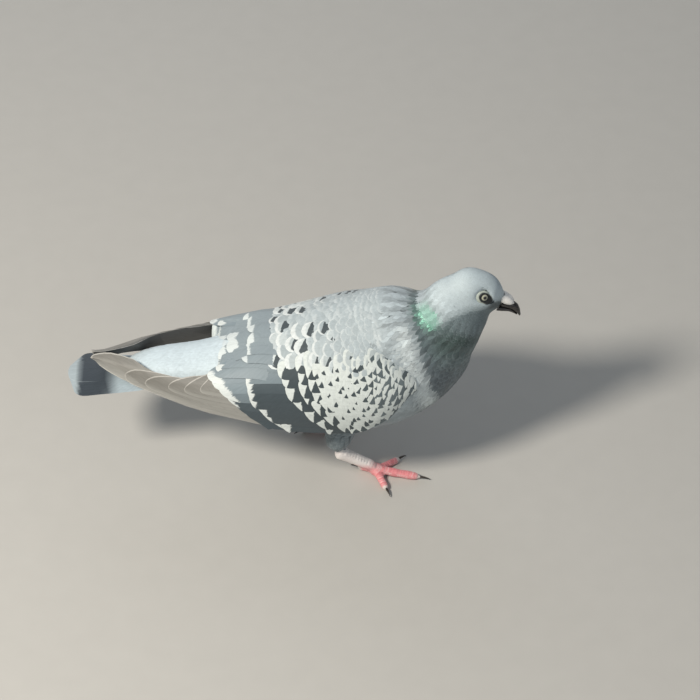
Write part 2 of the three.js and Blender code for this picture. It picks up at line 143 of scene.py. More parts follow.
def readOut(items, key, width, kind=np.float32):
    values = np.zeros(len(items) * width, kind)
    items.foreach_get(key, values)
    return values.reshape(-1, width)


def giveAttribute(mesh, name, values):
    # one number or one colour for each point
    values = np.asarray(values, np.float32)
    kind = {1: "FLOAT", 2: "FLOAT_COLOR"}[values.ndim]
    if values.ndim == 2:
        values = np.concatenate([values, np.ones((len(values), 1), np.float32)], axis=1)
    made = mesh.attributes.new(name, kind, "POINT")
    made.data.foreach_set("color" if kind == "FLOAT_COLOR" else "value", values.ravel())


def placed(name, data):
    made = bpy.data.objects.new(name, data)
    bpy.context.scene.collection.objects.link(made)
    return made


def addPiece(mesh, material, slot, *replaced):
    # meshes are drawn in millimetres and come down to metres here
    mesh.transform(Matrix.Scale(mm, 4))
    mesh.materials.append(material)
    piece = placed(mesh.name, mesh)
    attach(piece, "root")
    if replaced:
        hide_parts(*replaced)


# ---- camera, lights and floor

cameraDesign = dict(lookAt=(38.4, -0.3, 95.2), distance=2200, elevation=42, lens=168.9, sensor=36)


def aim(thing, at, target):
    thing.location = at
    thing.rotation_euler = (target - at).to_track_quat("-Z", "Y").to_euler()


def addCamera():
    d = cameraDesign
    data = bpy.data.cameras.new("camera")
    data.lens = d["lens"]
    data.sensor_width = d["sensor"]
    camera = placed("camera", data)
    tilt = math.radians(d["elevation"])
    target = Vector(d["lookAt"]) * mm
    aim(camera, target + Vector((0, -math.cos(tilt), math.sin(tilt))) * d["distance"] * mm, target)
    bpy.context.scene.camera = camera


lightDesign = {
    "key": dict(at=(-860, -700, 1250), size=330, watts=26, colour="#fff8ee"),
    "fill": dict(at=(900, -1200, 800), size=1400, watts=3, colour="#e8f1ff"),
    "back": dict(at=(-200, 1300, 900), size=1200, watts=4, colour="#eef4ff"),
}
worldDesign = dict(colour="#e2e8ee", strength=0.29)
floorDesign = dict(size=6000, colour="#bdbbb5")


def addLights():
    target = Vector((10, 0, 80)) * mm
    for name, d in lightDesign.items():
        data = bpy.data.lights.new(name, "AREA")
        data.shape = "DISK"
        data.size = d["size"] * mm
        data.energy = d["watts"]
        data.color = linear(d["colour"])
        aim(placed(name, data), Vector(d["at"]) * mm, target)
    world = bpy.data.worlds.new("studio")
    world.use_nodes = True
    background = world.node_tree.nodes["Background"]
    background.inputs["Color"].default_value = (*linear(worldDesign["colour"]), 1)
    background.inputs["Strength"].default_value = worldDesign["strength"]
    bpy.context.scene.world = world
    bpy.context.scene.view_settings.view_transform = "Standard"


# ---- materials

nodeWork = dict(
    Math="operation", VectorMath="operation", MapRange="interpolation_type", Mix="data_type",
    TexVoronoi="feature", Attribute="attribute_name",
)


def addNode(tree, kind, *values, **named):
    # kind may end in what the node does, as in "Math ADD"; values go to its open inputs in order and
    # named ones by name, each a plain value, an output socket, or a node whose first open output feeds it
    kind, _, work = kind.partition(" ")
    node = tree.nodes.new("ShaderNode" + kind)
    if work:
        setattr(node, nodeWork[kind], work)
    places = list(zip([socket for socket in node.inputs if socket.enabled], values))
    places += [(node.inputs[key.replace("_", " ")], value) for key, value in named.items()]
    for socket, value in places:
        if isinstance(value, bpy.types.Node):
            value = next(output for output in value.outputs if output.enabled)
        if isinstance(value, bpy.types.NodeSocket):
            tree.links.new(value, socket)
        else:
            socket.default_value = value
    return node


def newMaterial(name):
    material = bpy.data.materials.new(name)
    material.use_nodes = True
    material.node_tree.nodes.clear()
    return material, functools.partial(addNode, material.node_tree)


def rgba(hexColour):
    return (*linear(hexColour), 1)


featherDesign = dict(ior=1.45, sheen=0.12, barbSlant=-0.16, drift=260)
vaneColours = ("ground", "fringe", "mark")
vaneNumbers = ("along", "across", "fringeSize", "markStart", "markEnd", "markSlant", "markRise")


def featherMaterial(name, barbs, fringeSoftness, fringeReach, roughness=0.6, gloss=0.3, bump=0.25):
    # Keratin vanes: fine parallel barbs off a stiff shaft, so a soft satin face with slanting streaks.
    # barbs is how many streaks lie along a vane; real ones, 0.3 mm apart, are only just visible.
    d = featherDesign
    material, node = newMaterial(name)
    ground, fringe, mark = (node("Attribute " + key) for key in vaneColours)
    numbers = (node("Attribute " + key).outputs["Fac"] for key in vaneNumbers)
    along, across, fringeSize, markStart, markEnd, markSlant, markRise = numbers
    side = node("Math ABSOLUTE", across)
    slanted = node("Math MULTIPLY_ADD", side, d["barbSlant"], along)
    barbPlace = node("CombineXYZ", node("Math MULTIPLY", slanted, barbs), side)
    drift = node("VectorMath SCALE", node("TexCoord").outputs["Object"], d["drift"])
    streaks = node("TexNoise", Vector=node("VectorMath ADD", barbPlace, drift), Scale=1.0, Detail=2.0)

    # a dark mark stands on the vane's lower edge, between a front and a rear edge that lean together
    fromLow = node("Math ADD", across, 1.0)
    ragged = node("MapRange", streaks, To_Min=-0.05, To_Max=0.05)
    rearEdge = node("Math ADD", node("Math MULTIPLY_ADD", fromLow, markSlant, markEnd), ragged)
    frontEdge = node("Math MULTIPLY_ADD", fromLow, markRise, markStart)
    behind, ahead = node("Math SUBTRACT", rearEdge, along), node("Math SUBTRACT", along, frontEdge)
    inside = node("Math MINIMUM", behind, ahead)
    marked = node("MapRange SMOOTHSTEP", inside, From_Min=-0.012, From_Max=0.016)
    colour = node("Mix RGBA", marked, ground, mark)

    # the fringe runs round the tip and a little way up both edges
    rim = node("Math POWER", side, fringeReach)
    edgePlace = node("Math ADD", node("Math MULTIPLY_ADD", rim, 0.3, along), fringeSize)
    edgePlace = node("Math MULTIPLY_ADD", ragged, fringeSoftness * 6, edgePlace)
    fringed = node("MapRange SMOOTHSTEP", edgePlace, From_Min=1 - fringeSoftness, From_Max=1.0)
    colour = node("Mix RGBA", fringed, colour, fringe)

    shaft = node("MapRange SMOOTHSTEP", side, From_Min=0.08, From_Max=0.02)
    streak = node("MapRange", streaks, From_Min=0.3, From_Max=0.7, To_Min=0.9, To_Max=1.05)
    colour = node("VectorMath SCALE", colour, node("Math MULTIPLY_ADD", shaft, -0.07, streak))
    height = node("Math MULTIPLY_ADD", shaft, 0.5, streaks)
    relief = node("Bump", Height=height, Strength=bump, Distance=0.25 * mm)
    shader = node(
        "BsdfPrincipled", Base_Color=colour, Roughness=roughness, IOR=d["ior"], Normal=relief,
        Sheen_Weight=d["sheen"], Sheen_Roughness=0.5, Specular_IOR_Level=gloss,
    )
    node("OutputMaterial", shader)
    return material


def skinMaterial(name):
    # Bare skin: thin, matt and finely creased under the plumage; on the legs its small scales
    # have pale, dry, flaking edges.
    material, node = newMaterial(name)
    place = node("TexCoord").outputs["Object"]
    scales = node("TexVoronoi DISTANCE_TO_EDGE", Vector=place, Scale=1 / (1.1 * mm))
    blotches = node("TexNoise", Vector=place, Scale=1 / (3.5 * mm), Detail=3.0)
    edge = node("MapRange", scales, From_Min=0.0, From_Max=0.16)
    dryness = node("MapRange", blotches, From_Min=0.4, From_Max=0.7, To_Min=0.1, To_Max=0.75)
    flaking = node("Math MULTIPLY", node("Math SUBTRACT", 1.15, edge), dryness)
    flaking = node("Math MULTIPLY", flaking, node("Attribute scaly").outputs["Fac"])
    colour = node("Mix RGBA", flaking, node("Attribute ground"), rgba("#eadfdb"))
    relief = node("Bump", Height=edge, Strength=0.35, Distance=0.2 * mm)
    node("OutputMaterial", node("BsdfPrincipled", Base_Color=colour, Roughness=0.6, IOR=1.42, Normal=relief))
    return material


def hornMaterial(name, dark, pale, roughness):
    # Horn: grown in fine lengthwise layers, so a dark satin gloss with faint streaks.
    material, node = newMaterial(name)
    stretched = node("Mapping", node("TexCoord").outputs["Object"], Scale=(220, 1400, 1400))
    streaks = node("TexNoise", Vector=stretched, Scale=1.0, Detail=4.0)
    share = node("MapRange", streaks, From_Min=0.42, From_Max=0.75)
    colour = node("Mix RGBA", share, rgba(dark), rgba(pale))
    relief = node("Bump", Height=streaks, Strength=0.25, Distance=0.1 * mm)
    shader = node("BsdfPrincipled", Base_Color=colour, Roughness=roughness, IOR=1.54, Normal=relief)
    node("OutputMaterial", shader)
    return material


def chalkySkinMaterial(name):
    # The cere: soft skin dusted with powder down, so matt chalky white with fine wrinkles.
    material, node = newMaterial(name)
    grain = node("TexNoise", Vector=node("TexCoord").outputs["Object"], Scale=1 / (0.8 * mm), Detail=5.0)
    colour = node("Mix RGBA", grain, rgba("#dedbd4"), rgba("#fdfcf9"))
    relief = node("Bump", Height=grain, Strength=0.5, Distance=0.25 * mm)
    node("OutputMaterial", node("BsdfPrincipled", Base_Color=colour, Roughness=0.85, IOR=1.4, Normal=relief))
    return material


def eyeMaterial(name):
    # A wet eye: black pupil, a pale olive ring of iris with fine spokes, a dark rim, clear gloss over all.
    material, node = newMaterial(name)
    spokes = node("TexNoise", Vector=node("TexCoord").outputs["Object"], Scale=1 / (0.5 * mm), Detail=3.0)
    ramp = node("ValToRGB", node("Math MULTIPLY_ADD", spokes, 0.03, node("Attribute radial").outputs["Fac"]))
    stops = [
        (0.0, "#050506"), (0.20, "#08080a"), (0.24, "#55544a"), (0.31, "#a2a38e"),
        (0.43, "#b6b8a3"), (0.50, "#605f54"), (0.55, "#1b1c1b"), (1.0, "#0f1011"),
    ]
    elements = ramp.color_ramp.elements
    while len(elements) < len(stops):
        elements.new(0.5)
    for element, (position, colour) in zip(elements, stops):
        element.position = position
        element.color = rgba(colour)
    shader = node("BsdfPrincipled", ramp, Roughness=0.12, IOR=1.376, Coat_Weight=1.0, Coat_Roughness=0.03)
    node("OutputMaterial", shader)
    return material


def lidMaterial(name):
    # Bare ring of skin round the eye: dark out to a given reach from the opening, pale and powdery outside.
    material, node = newMaterial(name)
    grain = node("TexNoise", Vector=node("TexCoord").outputs["Object"], Scale=1 / (0.5 * mm), Detail=4.0)
    relief = node("Bump", Height=grain, Strength=0.4, Distance=0.15 * mm)
    ground = node("Attribute ground")
    node("OutputMaterial", node("BsdfPrincipled", Base_Color=ground, Roughness=0.55, IOR=1.42, Normal=relief))
    return material


def floorMaterial():
    # Matt painted studio floor.
    material, node = newMaterial("paintedFloor")
    grain = node("TexNoise", Vector=node("TexCoord").outputs["Object"], Scale=60.0, Detail=3.0)
    shade = node("MapRange", grain, To_Min=0.97, To_Max=1.03)
    colour = node("VectorMath SCALE", linear(floorDesign["colour"]), shade)
    node("OutputMaterial", node("BsdfPrincipled", Base_Color=colour, Roughness=0.8))
    return material


def addFloor():
    half = floorDesign["size"] * mm / 2
    corners = [(-half, -half, 0), (half, -half, 0), (half, half, 0), (-half, half, 0)]
    mesh = meshFrom("studioFloor", corners, [[0, 1, 2, 3]])
    mesh.materials.append(floorMaterial())
    placed("studioFloor", mesh)


addCamera()
addLights()
addFloor()
print("camera, lights and floor are in")

# ---- the head's own directions, from the eyes

headBow = math.radians(-24)
headAhead = np.array([math.cos(headBow), 0, math.sin(headBow)])
headUp = np.array([-math.sin(headBow), 0, math.cos(headBow)])
eyePlaces = {hand: middleOf("eye_" + handNames[hand]) / mm for hand in hands}
eyeRadius = (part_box("eye_left")[1].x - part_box("eye_left")[0].x) / 2 / mm
eyeInHead = dict(ahead=5.8, up=5.8)  # the eyes' place from the head's own middle
headMiddle = (
    (eyePlaces[left] + eyePlaces[right]) / 2 - headAhead * eyeInHead["ahead"] - headUp * eyeInHead["up"]
)
billRoot = headMiddle + headAhead * 20 - headUp * 0.5
middleY = headMiddle[1]
shoulders = np.array([79.5, middleY, 98.0])
neckRun = shoulders - headMiddle


def neckShare(points):
    # 0 at the head's middle, 1 at the shoulders
    return (points - headMiddle) @ neckRun / (neckRun @ neckRun)


# ---- the folded wing's outer face as a chart: x along the bird, share from lower to upper edge

wingInsets = {"wing": 0.0, "secondaries": 1.1, "primaries": 2.0}
chartDesign = dict(stations=110, shares=41, smoothAlong=20, smoothAcross=8, focus=0.55, blunt=6)


def crossings(points, edges, x):
    a, b = points[edges[:, 0]], points[edges[:, 1]]
    cut = (a[:, 0] - x) * (b[:, 0] - x) < 0
    a, b = a[cut], b[cut]
    t = (x - a[:, 0]) / (b[:, 0] - a[:, 0])
    return a + (b - a) * t[:, None]


def steadied(reach):
    # rays that slip into a parting between two solids take their neighbours' reach
    padded = np.pad(reach, ((3, 3), (0, 0)), mode="edge")
    windows = np.stack([padded[i : i + len(reach)] for i in range(7)])
    middle = np.nanmedian(windows, axis=0)
    off = np.isnan(reach) | (np.abs(reach - middle) > 1.5)
    return np.where(off, middle, reach)


def wingChart(hand):
    d = chartDesign
    points, _, faces, owners = joined([f"{part}_{handNames[hand]}" for part in wingInsets])
    insets = np.array(list(wingInsets.values()))[owners]
    tree = BVHTree.FromPolygons(points.tolist(), faces)
    edges = np.array([(f[i], f[(i + 1) % len(f)]) for f in faces for i in range(len(f))])
    stations = np.linspace(points[:, 0].min() + 0.8, points[:, 0].max() - 0.8, d["stations"])
    reach, spokes, centres = [], [], []
    for x in stations:
        ring = crossings(points, edges, x)
        low, high = ring[ring[:, 2].argmin()], ring[ring[:, 2].argmax()]
        chord = high - low
        size = lengthOf(chord)
        out = np.array([0, chord[2], -chord[1]]) / size * hand
        focus = (low + high) / 2 - out * d["focus"] * size
        ends = [math.atan2(dot(p - focus, chord / size), dot(p - focus, out)) for p in (low, high)]
        start = 3 * size + 20
        for turn in np.linspace(*ends, d["shares"]):
            spoke = out * math.cos(turn) + chord / size * math.sin(turn)
            hit, _, face, distance = tree.ray_cast(Vector(focus + spoke * start), Vector(-spoke))
            reach.append(start - distance + insets[face] if hit else np.nan)
            spokes.append(spoke)
        centres.append(focus)
    shape = (d["stations"], d["shares"])
    reach = steadied(np.array(reach).reshape(shape))
    grid = np.array(centres)[:, None] + np.array(spokes).reshape(*shape, 3) * reach[..., None]
    for _ in range(d["smoothAlong"]):
        grid[1:-1, :, 1:] += 0.5 * ((grid[2:, :, 1:] + grid[:-2, :, 1:]) / 2 - grid[1:-1, :, 1:])
    for _ in range(d["smoothAcross"]):
        grid[:, 1:-1] += 0.5 * ((grid[:, 2:] + grid[:, :-2]) / 2 - grid[:, 1:-1])
    # even shares of each station's arc
    steps = lengthOf(np.diff(grid, axis=1))
    arcs = np.concatenate([np.zeros((len(grid), 1)), np.cumsum(steps, axis=1)], axis=1)
    even = np.linspace(0, 1, d["shares"])
    for i in range(len(grid)):
        share = arcs[i] / arcs[i, -1]
        grid[i] = np.stack([np.interp(even, share, grid[i, :, axis]) for axis in range(3)], axis=1)
    rise = unit(np.gradient(grid, axis=1))
    normals = unit(np.cross(np.gradient(grid, axis=0), rise)) * -hand
    rise[:, 0] = unit(grid[:, -1] - grid[:, 0])
    # the rearmost stations are too small to show which way they face
    rise[: d["blunt"]], normals[: d["blunt"]] = rise[d["blunt"]], normals[d["blunt"]]
    corner = np.arange(grid[..., 0].size).reshape(shape)
    quads = np.stack([corner[:-1, :-1], corner[1:, :-1], corner[1:, 1:], corner[:-1, 1:]], axis=-1)
    quads = quads.reshape(-1, 4)
    tree = BVHTree.FromPolygons(grid.reshape(-1, 3).tolist(), quads.tolist())
    outward = unit(normals.reshape(-1, 3)[quads].mean(axis=1))
    x, arc = grid[:, 0, 0], arcs[:, -1]
    return dict(x=x, grid=grid, normals=normals, rise=rise, arc=arc, tree=tree, outward=outward)


def arcAt(chart, x):
    return np.interp(x, chart["x"], chart["arc"])


def sampled(table, column, row):
    # a table's values at places between its own, in proportion
    column, row = (np.clip(place, 0, size - 1.001) for place, size in zip((column, row), table.shape))
    i, k = column.astype(int), row.astype(int)
    u, v = (column - i)[..., None], (row - k)[..., None]
    near = table[i, k] * (1 - u) + table[i + 1, k] * u
    far = table[i, k + 1] * (1 - u) + table[i + 1, k + 1] * u
    return near * (1 - v) + far * v


def onChart(chart, x, share, lift):
    # a place on the wing's outer face, lifted along its normal; past an edge it runs straight on
    xs, held = chart["x"], np.clip(share, 0, 1)
    column, row = np.interp(x, xs, np.arange(len(xs))), held * (chart["grid"].shape[1] - 1.001)
    grid, normals, rise = (sampled(chart[key], column, row) for key in ("grid", "normals", "rise"))
    places = grid + unit(normals) * lift[..., None] + rise * ((share - held) * arcAt(chart, x))[..., None]
    places[..., 0] += np.minimum(0, x - xs[0])
    return places


charts = {hand: wingChart(hand) for hand in hands}
print("wing charts: arc at x = 0 is", round(float(arcAt(charts[right], 0)), 1), "mm")


def wingShare(points):
    # the share of the wing's outer face nearest to each place
    chart = charts[left]
    oneSide = points * [1, 0, 1] + np.abs(points) * [0, 1, 0]
    column = np.interp(points[:, 0], chart["x"], np.arange(len(chart["x"]))).astype(int)
    away = lengthOf(chart["grid"][column] - oneSide[:, None])
    return away.argmin(axis=1) / (away.shape[1] - 1)


def perVane(value, count):
    return np.broadcast_to(np.asarray(value, float), (count,))[:, None]


def edgeSlope(chart, edge, shares):
    # how far the line of tips runs along the bird for each millimetre across the wing
    step = 0.04
    run = track(edge, shares + step) - track(edge, shares - step)
    return run / (2 * step * arcAt(chart, track(edge, shares)))


def chartVanes(hand, pattern, roots, tips, design, **own):
    # roots and tips are (x, share); across = 1 is the edge towards the back; shear slants the ends
    d = dict(curves=1, shear=0) | design | own
    chart, count = charts[hand], len(roots)
    alongVane, across, width = pattern["along"], pattern["across"], pattern["width"]
    halfLow, halfHigh, rootLift, tipLift = (perVane(value, count) for value in (*d["half"], *d["lifts"]))
    run = tips - roots
    x = roots[:, :1] + run[:, :1] * alongVane
    share = roots[:, 1:] + run[:, 1:] * alongVane ** perVane(d["curves"], count)
    arcs = arcAt(chart, x)
    slope = np.arctan2(run[:, 1] * arcAt(chart, tips[:, 0]), -run[:, 0])[:, None]
    # how far each side may reach past the wing's own edge
    pastLow, pastHigh = d["slack"]
    pastHigh = pastHigh if np.isscalar(pastHigh) else track(pastHigh, x)
    upper = np.minimum(halfHigh, (1 - share) * arcs + pastHigh)
    lower = np.minimum(halfLow, share * arcs + pastLow * (1 + 1.6 * ease(0.84, 0.96, alongVane)))
    reach = across * width * np.where(across > 0, upper, lower)
    x = x + np.sin(slope) * reach + perVane(d["shear"], count) * reach * alongVane**3
    share = share + np.cos(slope) * reach / arcs
    lift = rootLift + (tipLift - rootLift) * alongVane
    lift = lift + d["camber"] * (1 - across**2) * width - d["tilt"] * across * width
    return onChart(chart, x, share, lift)


# ---- one skin over all the flesh

fleshNodes = ["trunk", "neck", "head"]
legNodes = []
clawNodes = [f"claw_{toe}_{handName}" for handName in handNames.values() for toe in toeNames]
for handName in handNames.values():
    fleshNodes += ["wing_" + handName, "thigh_" + handName]
    legNodes += [f"{part}_{handName}" for part in ("shank", "foot")]
    legNodes += [f"toe_{toe}_{handName}" for toe in toeNames]

skinDesign = dict(
    voxel=1.04,
    overlap=0.5,  # the parts grow by this to close the partings between them
    bodyRelax=110,
    legRelax=3,
    legGrow=0.35,  # what smoothing takes off the thin legs
    headDepth=1.1,
    faceDepth=0.5,
    neckDepth=2.2,
    bodyDepth=2.8,
    wingDepth=3.6,
    thighDepth=1.6,
    wingReach=9,  # how far from a wing's outer face the skin still gives way to it
    socketDepth=2.6,
)


def distancesTo(tree, points):
    return np.array([tree.find_nearest(p)[3] for p in points.tolist()])


def relax(points, edges, weights, rounds):
    a, b = edges[:, 0], edges[:, 1]
    size = len(points)
    count = np.bincount(edges.ravel(), minlength=size)[:, None]
    for _ in range(rounds):
        total = [np.bincount(a, p[b], size) + np.bincount(b, p[a], size) for p in points.T]
        points = points + weights[:, None] * (np.stack(total, axis=1) / count - points)
    return points


def remeshed(name, nodeNames, voxel, grow):
    points, normals, faces, _ = joined(nodeNames)
    rough = placed(name + "Rough", meshFrom(name + "Rough", points + normals * grow, faces))
    remesh = rough.modifiers.new("voxels", "REMESH")
    remesh.mode = "VOXEL"
    remesh.voxel_size = voxel
    evaluated = rough.evaluated_get(bpy.context.evaluated_depsgraph_get())
    mesh = bpy.data.meshes.new_from_object(evaluated)
    mesh.name = name
    mesh.polygons.foreach_set("use_smooth", np.ones(len(mesh.polygons), bool))
    bpy.data.objects.remove(rough)
    return mesh


def coordinates(mesh):
    return readOut(mesh.vertices, "co", 3).astype(float)


def setCoordinates(mesh, points):
    mesh.vertices.foreach_set("co", np.asarray(points, np.float32).ravel())
    mesh.update()


def vertexNormals(mesh):
    return readOut(mesh.vertex_normals, "vector", 3).astype(float)


def edgesOf(mesh):
    return readOut(mesh.edges, "vertices", 2, np.int32)


def coatDepth(points, legShare):
    # how deep the skin lies under the plumage's outer face
    d = skinDesign
    share = neckShare(points)
    depth = d["headDepth"] + (d["neckDepth"] - d["headDepth"]) * ease(0.2, 0.45, share)
    depth = depth + (d["bodyDepth"] - d["neckDepth"]) * ease(0.7, 1.1, share)
    nearFace = lengthOf(points - billRoot)
    depth = d["faceDepth"] + (depth - d["faceDepth"]) * ease(4, 14, nearFace)
    rearThin = 0.9 + (depth - 0.9) * ease(-112, -70, points[:, 0])
    depth = np.minimum(depth, rearThin)
    thigh = ease(52, 40, points[:, 2])
    depth = depth + (d["thighDepth"] - depth) * thigh
    return depth * (1 - legShare) - d["legGrow"] * legShare


def sunkUnder(chart, points, depth):
    # wherever it comes nearer than depth to a wing's outer face, the skin goes further in
    sunk = points.copy()
    for i, p in enumerate(points.tolist()):
        spot, _, face, away = chart["tree"].find_nearest(p, skinDesign["wingReach"])
        if spot is None:
            continue
        outward, offset = chart["outward"][face], np.array(p) - spot
        height = offset @ outward
        if height > -depth:
            past = math.sqrt(max(0, away**2 - height**2))
            sunk[i] -= outward * (height + depth) * ease(6, 1.5, past)
    return sunk


def buildSkin():
    d = skinDesign
    mesh = remeshed("skin", fleshNodes + legNodes, d["voxel"], d["overlap"])
    points = coordinates(mesh)
    toLegs = distancesTo(treeOf(legNodes), points)
    toBody = distancesTo(treeOf(fleshNodes), points)
    legShare = ease(-1.5, 1.5, toBody - toLegs)
    edges = edgesOf(mesh)
    weights = 0.5 * (1 - legShare)
    onFace = ease(24, 14, lengthOf(points - billRoot))
    points = relax(points, edges, np.full(len(points), 0.5), d["legRelax"])
    # the second pass smooths what the first took off, so round parts don't shrink
    smoothed = relax(points, edges, weights * (1 - 0.75 * onFace), d["bodyRelax"])
    points = smoothed + relax(points - smoothed, edges, weights, d["bodyRelax"])
    setCoordinates(mesh, points)
    depth = coatDepth(points, legShare)
    points = points - vertexNormals(mesh) * (depth + d["overlap"])[:, None]
    for chart in charts.values():
        points = sunkUnder(chart, points, d["wingDepth"])
    points = relax(points, edges, np.full(len(points), 0.4), 2)
    # the sockets: flesh near each eye lies behind the eyeball's face
    for hand in hands:
        inside = ease(eyeRadius + 0.6, eyeRadius - 1.4, lengthOf(points - eyePlaces[hand]))
        points = points - np.array([0, hand, 0]) * (inside * d["socketDepth"])[:, None]
    setCoordinates(mesh, points)
    return mesh, legShare


def restingSurface(mesh):
    points, faces = coordinates(mesh), readOut(mesh.loops, "vertex_index", 1, np.int32).reshape(-1, 4)
    normals = unit(vertexNormals(mesh)[faces].mean(axis=1))
    tree = BVHTree.FromPolygons(points.tolist(), faces.tolist())
    return dict(points=points, faces=faces, tree=tree, normals=normals)


def restOn(surface, points):
    find = surface["tree"].find_nearest
    found = [find(p) for p in points.reshape(-1, 3).tolist()]
    spots = np.array([spot for spot, _, _, _ in found])
    normals = surface["normals"][[face for _, _, face, _ in found]]
    return spots.reshape(points.shape), normals.reshape(points.shape)


skinMesh, skinLegShare = buildSkin()
skinSurface = restingSurface(skinMesh)
print("skin:", len(skinMesh.polygons), "faces")

# ---- markings, shared by the skin and the plumage

tints = {
    "crown": "#bfccd0",
    "cheek": "#a3b0b3",
    # face: the lower face and throat, partly their own darker grey and partly painted shade
    "face": "#6c797c",
    "lore": "#474f51",
    "neckGreen": "#66b797",
    # the next two are the neck's own dark grey-green and violet, deepened with painted shade
    "neckDeep": "#3b4344",
    "neckViolet": "#5d666a",
    "shoulder": "#adb8bc",
    # painted highlight: a pale band where the light catches the feathers over the bend of the wing
    "fluff": "#ced7d7",
    "mantle": "#b2bdc0",
    "silver": "#dbe2e2",
    # breast: its own mauve-grey, darkened with painted shade
    "breast": "#5c666b",
    "belly": "#949fa4",
    # thigh: grey of the lower flanks and thighs, partly painted shade under the body
    "thigh": "#7f8a8e",
    "rump": "#cfdde3",
    "underTail": "#98a4aa",
    "legWhite": "#efe9e4",
    "toePink": "#e0878b",
    "toeTip": "#d6cfc8",
}
tintValues = {name: linear(colour) for name, colour in tints.items()}
greenPatches = {  # from the nape down the side of the neck: the neck's own iridescent green, laid on as a painted sheen where the light catches it
    left: [(88, 16, 128), (93, 18, 122)],
    right: [(81, -11, 144.5), (90, -16, 136)],
}


def washed(colours, **amounts):
    # tints laid over the colours one after another, each so far as its amount says
    for tint, amount in amounts.items():
        colours = blend(colours, tintValues[tint], np.clip(amount, 0, 1))
    return colours


def distanceToRun(points, start, end):
    start, end = np.array(start, float), np.array(end, float)
    run = end - start
    share = np.clip((points - start) @ run / (run @ run), 0, 1)
    return lengthOf(points - start - share[:, None] * run)


def greenness(points):
    away = np.minimum(*[distanceToRun(points, *greenPatches[hand]) for hand in hands])
    return ease(10.5, 3, away)


def pastBend(points):
    # how far ahead of the line where the neck and breast lap over the bend of the wing
    return points[:, 0] - 70 - 0.33 * (151 - points[:, 2])


def markings(points, normals):
    x, z = points[:, 0], points[:, 2]
    side = np.abs(points[:, 1])
    share = neckShare(points)
    up = normals[:, 2]
    towards = points - headMiddle
    ahead, rise = towards @ headAhead, towards @ headUp
    onHead = ease(0.42, 0.26, share)
    cheek = track([(-14, -17), (-8, -12.8), (0.8, -5.6), (10, -1.8), (16.4, 2.6)], ahead)
    # the dark of the neck and breast starts along a line down the bend of the wing, under a pale nape; it is
    # partly their own darker colour and partly painted shade
    past = pastBend(points)
    nape = z - 14 * ease(86, 78, x)
    darkTop = track([(86, 131), (98.7, 134), (105, 140), (117, 144), (134, 146)], x)
    dark = ease(-3, 5, past) * ease(darkTop + 4.5, darkTop - 3, nape)
    return washed(
        np.tile(tintValues["mantle"], (len(points), 1)),
        belly=ease(0.1, -0.5, up),
        rump=ease(-24, -40, x) * ease(-0.3, 0.2, up),
        underTail=ease(-50, -70, x) * ease(-0.1, -0.4, up),
        # painted shade in part: low on the body, under the belly, the colour turns darker grey
        thigh=ease(56, 46, z),
        shoulder=ease(1.2, 0.9, share) * ease(52, 70, x),
        # painted shade on top of the neck's own dark: deeper where the neck faces down and on the throat
        neckViolet=dark * ease(-0.5, 0.6, up + 0.3),
        neckDeep=dark * ease(134, 122, z) * ease(88, 100, x),
        # painted shade with the breast's own colour: darker low on the front, which faces away from the light
        breast=ease(76, 96, x) * ease(0.6, 0.1, up) * ease(124, 104, z),
        # painted sheen: the iridescent green laid on where the light catches the neck
        neckGreen=0.05 * dark * ease(0.9, 0.6, share) + 0.5 * greenness(points),
        # painted highlight along the bend of the wing
        fluff=ease(-13, -6, past) * ease(3, -3, past) * ease(16, 27, side) * ease(58, 72, z),
        # painted shade in part: from crown through cheek to face the head grows darker below the cheek line,
        # towards the throat
        face=onHead * ease(cheek + 1, cheek - 3, rise) * ease(-14, -2, ahead),
        cheek=onHead * ease(cheek - 3.5, cheek + 1.5, rise),
        crown=onHead * ease(cheek, cheek + 7, rise),
        lore=0.85 * ease(10, 14, ahead) * ease(5.5, 2, np.abs(rise - 0.5)) * ease(2.5, 5, side),
    )


def legMarkings(points):
    # white scurf at the ankle, coral toes, paler at their ends
    toClaws = np.min([lengthOf(points - middleOf(node) / mm) for node in clawNodes], axis=0)
    pink = np.tile(tintValues["toePink"], (len(points), 1))
    return washed(pink, legWhite=ease(6, 14, points[:, 2]), toeTip=ease(8, 5, toClaws))


def paintSkin():
    normals = vertexNormals(skinMesh)
    points = coordinates(skinMesh)
    bare = np.maximum(skinLegShare, ease(29, 25, points[:, 2]))
    giveAttribute(skinMesh, "ground", blend(markings(points, normals), legMarkings(points), bare))
    giveAttribute(skinMesh, "scaly", bare)


# ---- vanes: the one shape behind every feather and scale


def roundTip(alongRows, start, sharpness=2.0):
    past = np.clip((np.array(alongRows) - start) / (1 - start), 0, 1)
    return (1 - past**sharpness) ** (1 / sharpness)


def vanePattern(alongRows, widths, columns, lowWidths=None):
    # root point, rows of columns + 1 points, tip point; the underside closes straight from rim to rim
    rows = len(alongRows)
    spread = np.linspace(-1, 1, columns + 1)
    low = np.array(widths if lowWidths is None else lowWidths)
    rowWidths = np.where(spread < 0, low[:, None], np.array(widths)[:, None])
    along = np.concatenate([[0.0], np.repeat(alongRows, columns + 1), [1.0]])
    across = np.concatenate([[0.0], np.tile(spread, rows), [0.0]])
    width = np.concatenate([[0.0], rowWidths.ravel(), [0.0]])
    tip = 1 + rows * (columns + 1)

    def at(r, c):
        return 1 + (r - 1) * (columns + 1) + c

    faces = []
    for c in range(columns):
        faces.append((0, at(1, c + 1), at(1, c)))
        faces.append((at(rows, c), at(rows, c + 1), tip))
    faces.append((0, at(1, 0), at(1, columns)))
    faces.append((at(rows, columns), at(rows, 0), tip))
    for r in range(1, rows):
        for c in range(columns):
            faces.append((at(r, c), at(r, c + 1), at(r + 1, c + 1), at(r + 1, c)))
        faces.append((at(r, columns), at(r, 0), at(r + 1, 0), at(r + 1, columns)))
    rim = [0] + [at(r, 0) for r in range(1, rows + 1)] + [tip] + [at(r, columns) for r in range(rows, 0, -1)]
    return dict(along=along, across=across, width=width, faces=faces, rim=rim)


